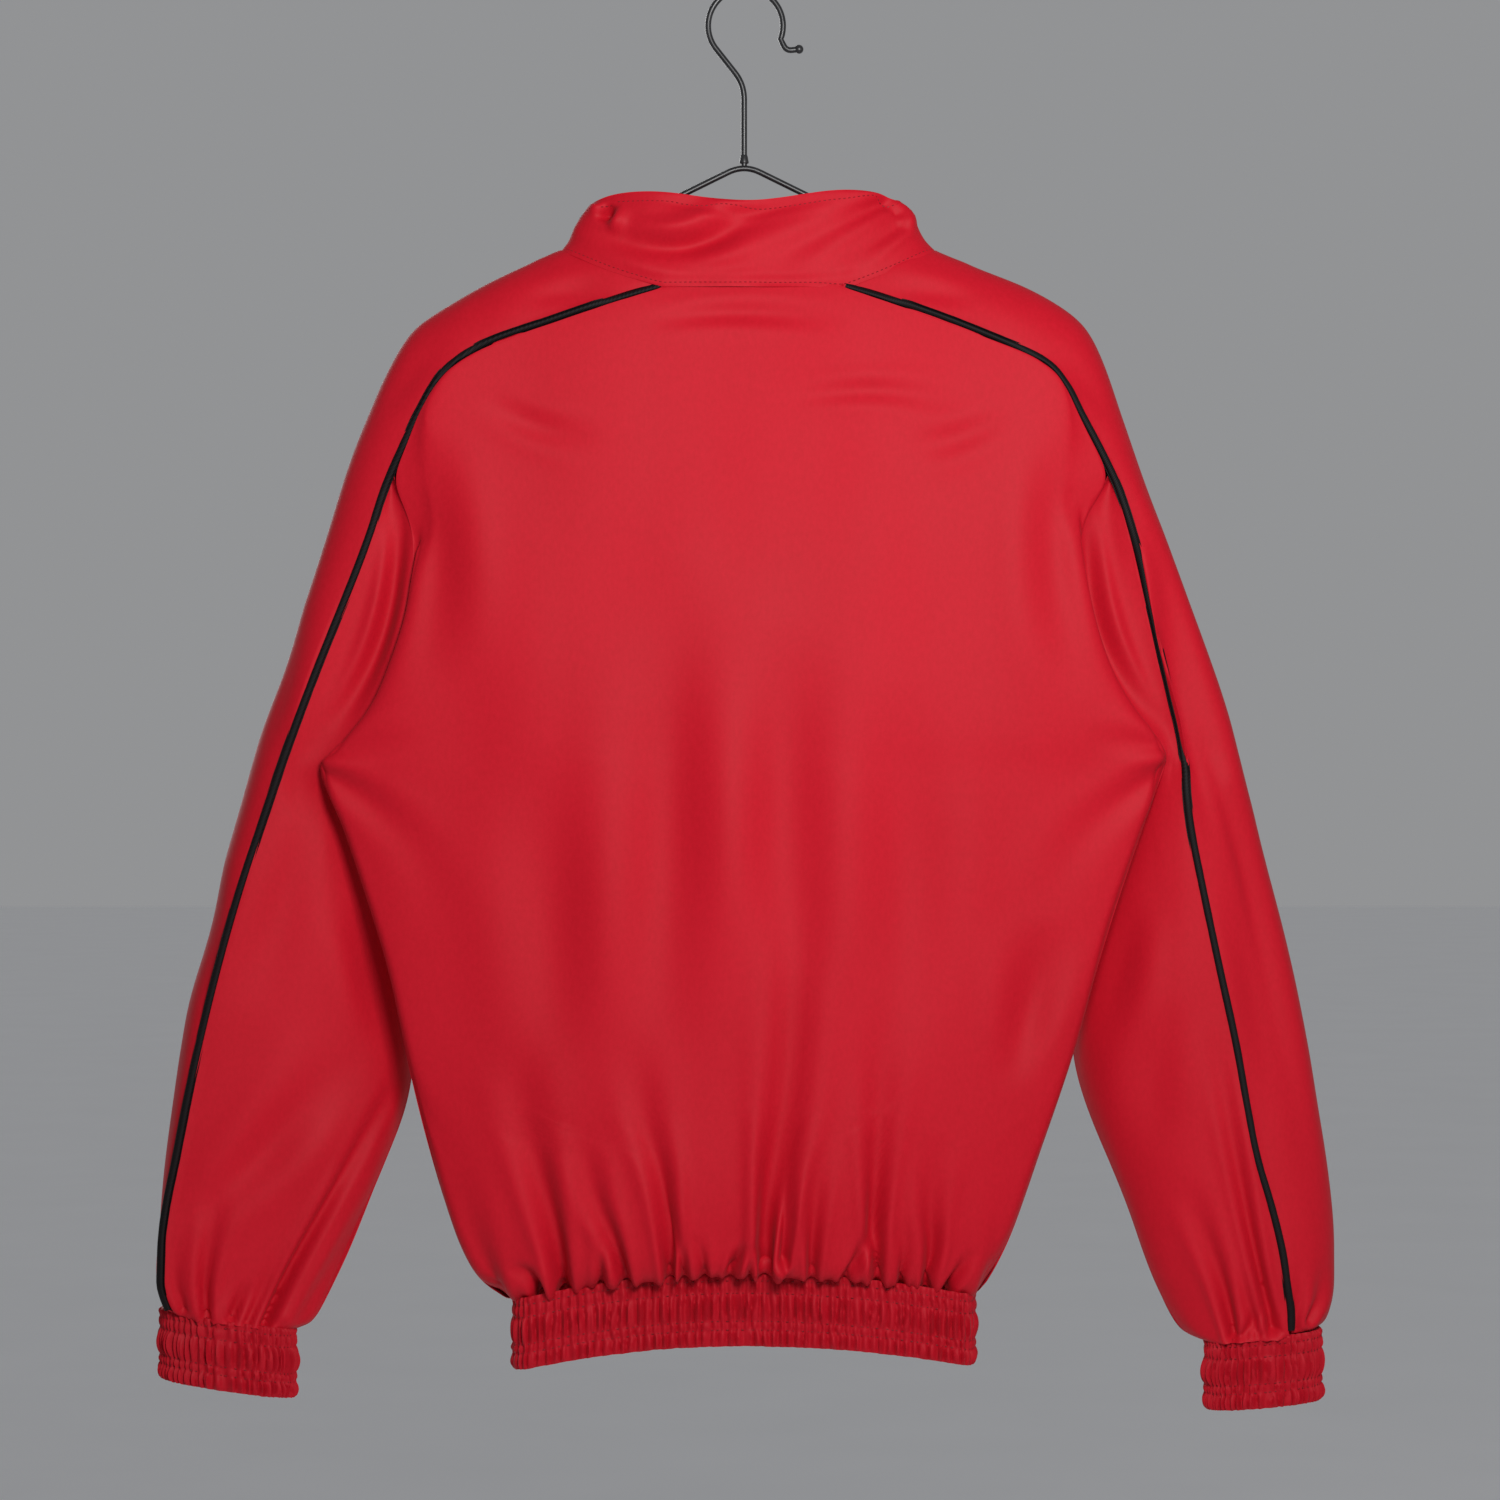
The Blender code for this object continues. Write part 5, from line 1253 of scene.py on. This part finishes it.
tabTop = pivot + Vector((0, 0, tabLook["overPivot"]))
pullTab, tabSlot, tabWindow = (
    roundedPlate("pullTab" + part.title(), size, tabTop - Vector((0, 0, below)), corner, zipSteel)
    for part, (size, below, corner) in (("", tabLook["plate"]), ("slot", tabLook["slot"]),
                                        ("window", tabLook["window"])))
for cutter in (tabSlot, tabWindow):
    useModifier(pullTab, 'BOOLEAN', operation='DIFFERENCE', object=cutter, solver='EXACT')
    bpy.data.objects.remove(cutter, do_unlink=True)
useModifier(pullTab, 'BEVEL', width=tabLook["bevel"], segments=2, limit_method='ANGLE',
            angle_limit=radians(40))
makeActive(pullTab)
bpy.ops.object.shade_smooth_by_angle(angle=radians(35))
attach(pullTab, "pull_tab")
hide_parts("zip_pull_tab")

foot = zipRun[-1][0]
zipBox = joined("zipBox", [blockPiece(name, size, foot + Vector(spot), zipBlack, *rest)
                           for name, size, spot, *rest in zipBoxBlocks])
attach(zipBox, "jacket")
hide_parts("zip_box")
print("zip closed:", len(teeth), "teeth")


# hanger: one bent wire frame, and the hook welded on

hangerLook = dict(apex=-0.1155, halfWidth=0.205, armSlope=0.492, bar=-0.2560, barInset=0.009, wire=0.0020,
                  topCorner=0.012, corner=0.010, cornerSteps=10)
# the hook's ring starts at ringFrom half turns and goes on for ringTurn; the stem bends into it, and it ends
# in a small lip with a ball
hookLook = dict(ring=0.025, centre=(-0.0010, 0.0, -0.023), ringFrom=-0.22, ringTurn=1.36, ringSteps=56,
                stemSink=0.0010, stemSpot=(0, 0, -0.0900), bend=(0.0, 0, -0.0620), bendRadius=0.010,
                lipBend=(-0.0045, 0, -0.0060), lipEnd=(-0.0130, 0, -0.0050), lipRadius=0.004, ball=0.0030)
weldLook = dict(radius1=0.0033, radius2=0.0022, depth=0.0060, up=0.0035, bevel=0.0008)


def roundedCorner(before, corner, after, radius):
    start = corner + (before - corner).normalized() * radius
    end = corner + (after - corner).normalized() * radius
    steps = hangerLook["cornerSteps"]
    spots = [i / steps for i in range(steps + 1)]
    return [start * (1 - t) ** 2 + corner * 2 * t * (1 - t) + end * t * t for t in spots]


def wirePiece(name, route, cyclic):
    bpy.ops.curve.primitive_nurbs_path_add(location=(0.0, 0.0, 0.0))
    piece = bpy.context.object
    piece.name = name
    curve = piece.data
    curve.splines.clear()
    spline = curve.splines.new('POLY')
    spline.points.add(len(route) - 1)
    for point, place in zip(spline.points, route):
        point.co = (*place, 1.0)
    spline.use_cyclic_u = cyclic
    curve.bevel_depth = hangerLook["wire"]
    curve.bevel_resolution = 6
    curve.use_fill_caps = not cyclic
    bpy.ops.object.convert(target='MESH')
    piece = bpy.context.object
    piece.data.materials.clear()
    piece.data.materials.append(wireBlack)
    bpy.ops.object.shade_smooth_by_angle(angle=radians(50))
    return piece


look = hangerLook
apex = Vector((0, 0, look["apex"]))
tipDrop = look["armSlope"] * look["halfWidth"]
tips = {side: Vector((side * look["halfWidth"], 0, apex.z - tipDrop)) for side in (1, -1)}
bars = {side: Vector((side * (look["halfWidth"] - look["barInset"]), 0, look["bar"])) for side in (1, -1)}
route = roundedCorner(tips[-1], apex, tips[1], look["topCorner"])
loop = [apex, tips[1], bars[1], bars[-1], tips[-1], apex]
for before, corner, after in zip(loop, loop[1:], loop[2:]):
    route += roundedCorner(before, corner, after, look["corner"])
hangerWire = wirePiece("hangerWire", route, True)
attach(hangerWire, "jacket")
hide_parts("hanger_frame")

look = hookLook
turns = [pi * (look["ringFrom"] + look["ringTurn"] * i / look["ringSteps"])
         for i in range(look["ringSteps"] + 1)]
ring = [Vector(look["centre"]) + Vector((look["ring"] * cos(a), 0, look["ring"] * sin(a))) for a in turns]
stemFoot = Vector((0, 0, apex.z - look["stemSink"]))
lipBend = ring[-1] + Vector(look["lipBend"])
lipEnd = ring[-1] + Vector(look["lipEnd"])
route = [stemFoot, Vector(look["stemSpot"])]
route += roundedCorner(stemFoot, Vector(look["bend"]), ring[0], look["bendRadius"]) + ring[1:-1]
route += roundedCorner(ring[-2], lipBend, lipEnd, look["lipRadius"]) + [lipEnd]
hookWire = wirePiece("hangerHookWire", route, False)
bpy.ops.mesh.primitive_uv_sphere_add(segments=28, ring_count=16, radius=look["ball"], location=lipEnd)
hookBall = bpy.context.object
hookBall.data.materials.append(wireBlack)
bpy.ops.object.shade_smooth()
look = weldLook
bpy.ops.mesh.primitive_cone_add(vertices=28, radius1=look["radius1"], radius2=look["radius2"],
                                depth=look["depth"], location=apex + Vector((0, 0, look["up"])))
weld = bpy.context.object
weld.data.materials.append(wireBlack)
useModifier(weld, 'BEVEL', width=look["bevel"], segments=3, limit_method='ANGLE')
bpy.ops.object.shade_smooth_by_angle(angle=radians(40))
hangerHook = joined("hangerHook", [hookWire, hookBall, weld])
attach(hangerHook, "jacket")
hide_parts("hanger_hook")
print("hanger bent")
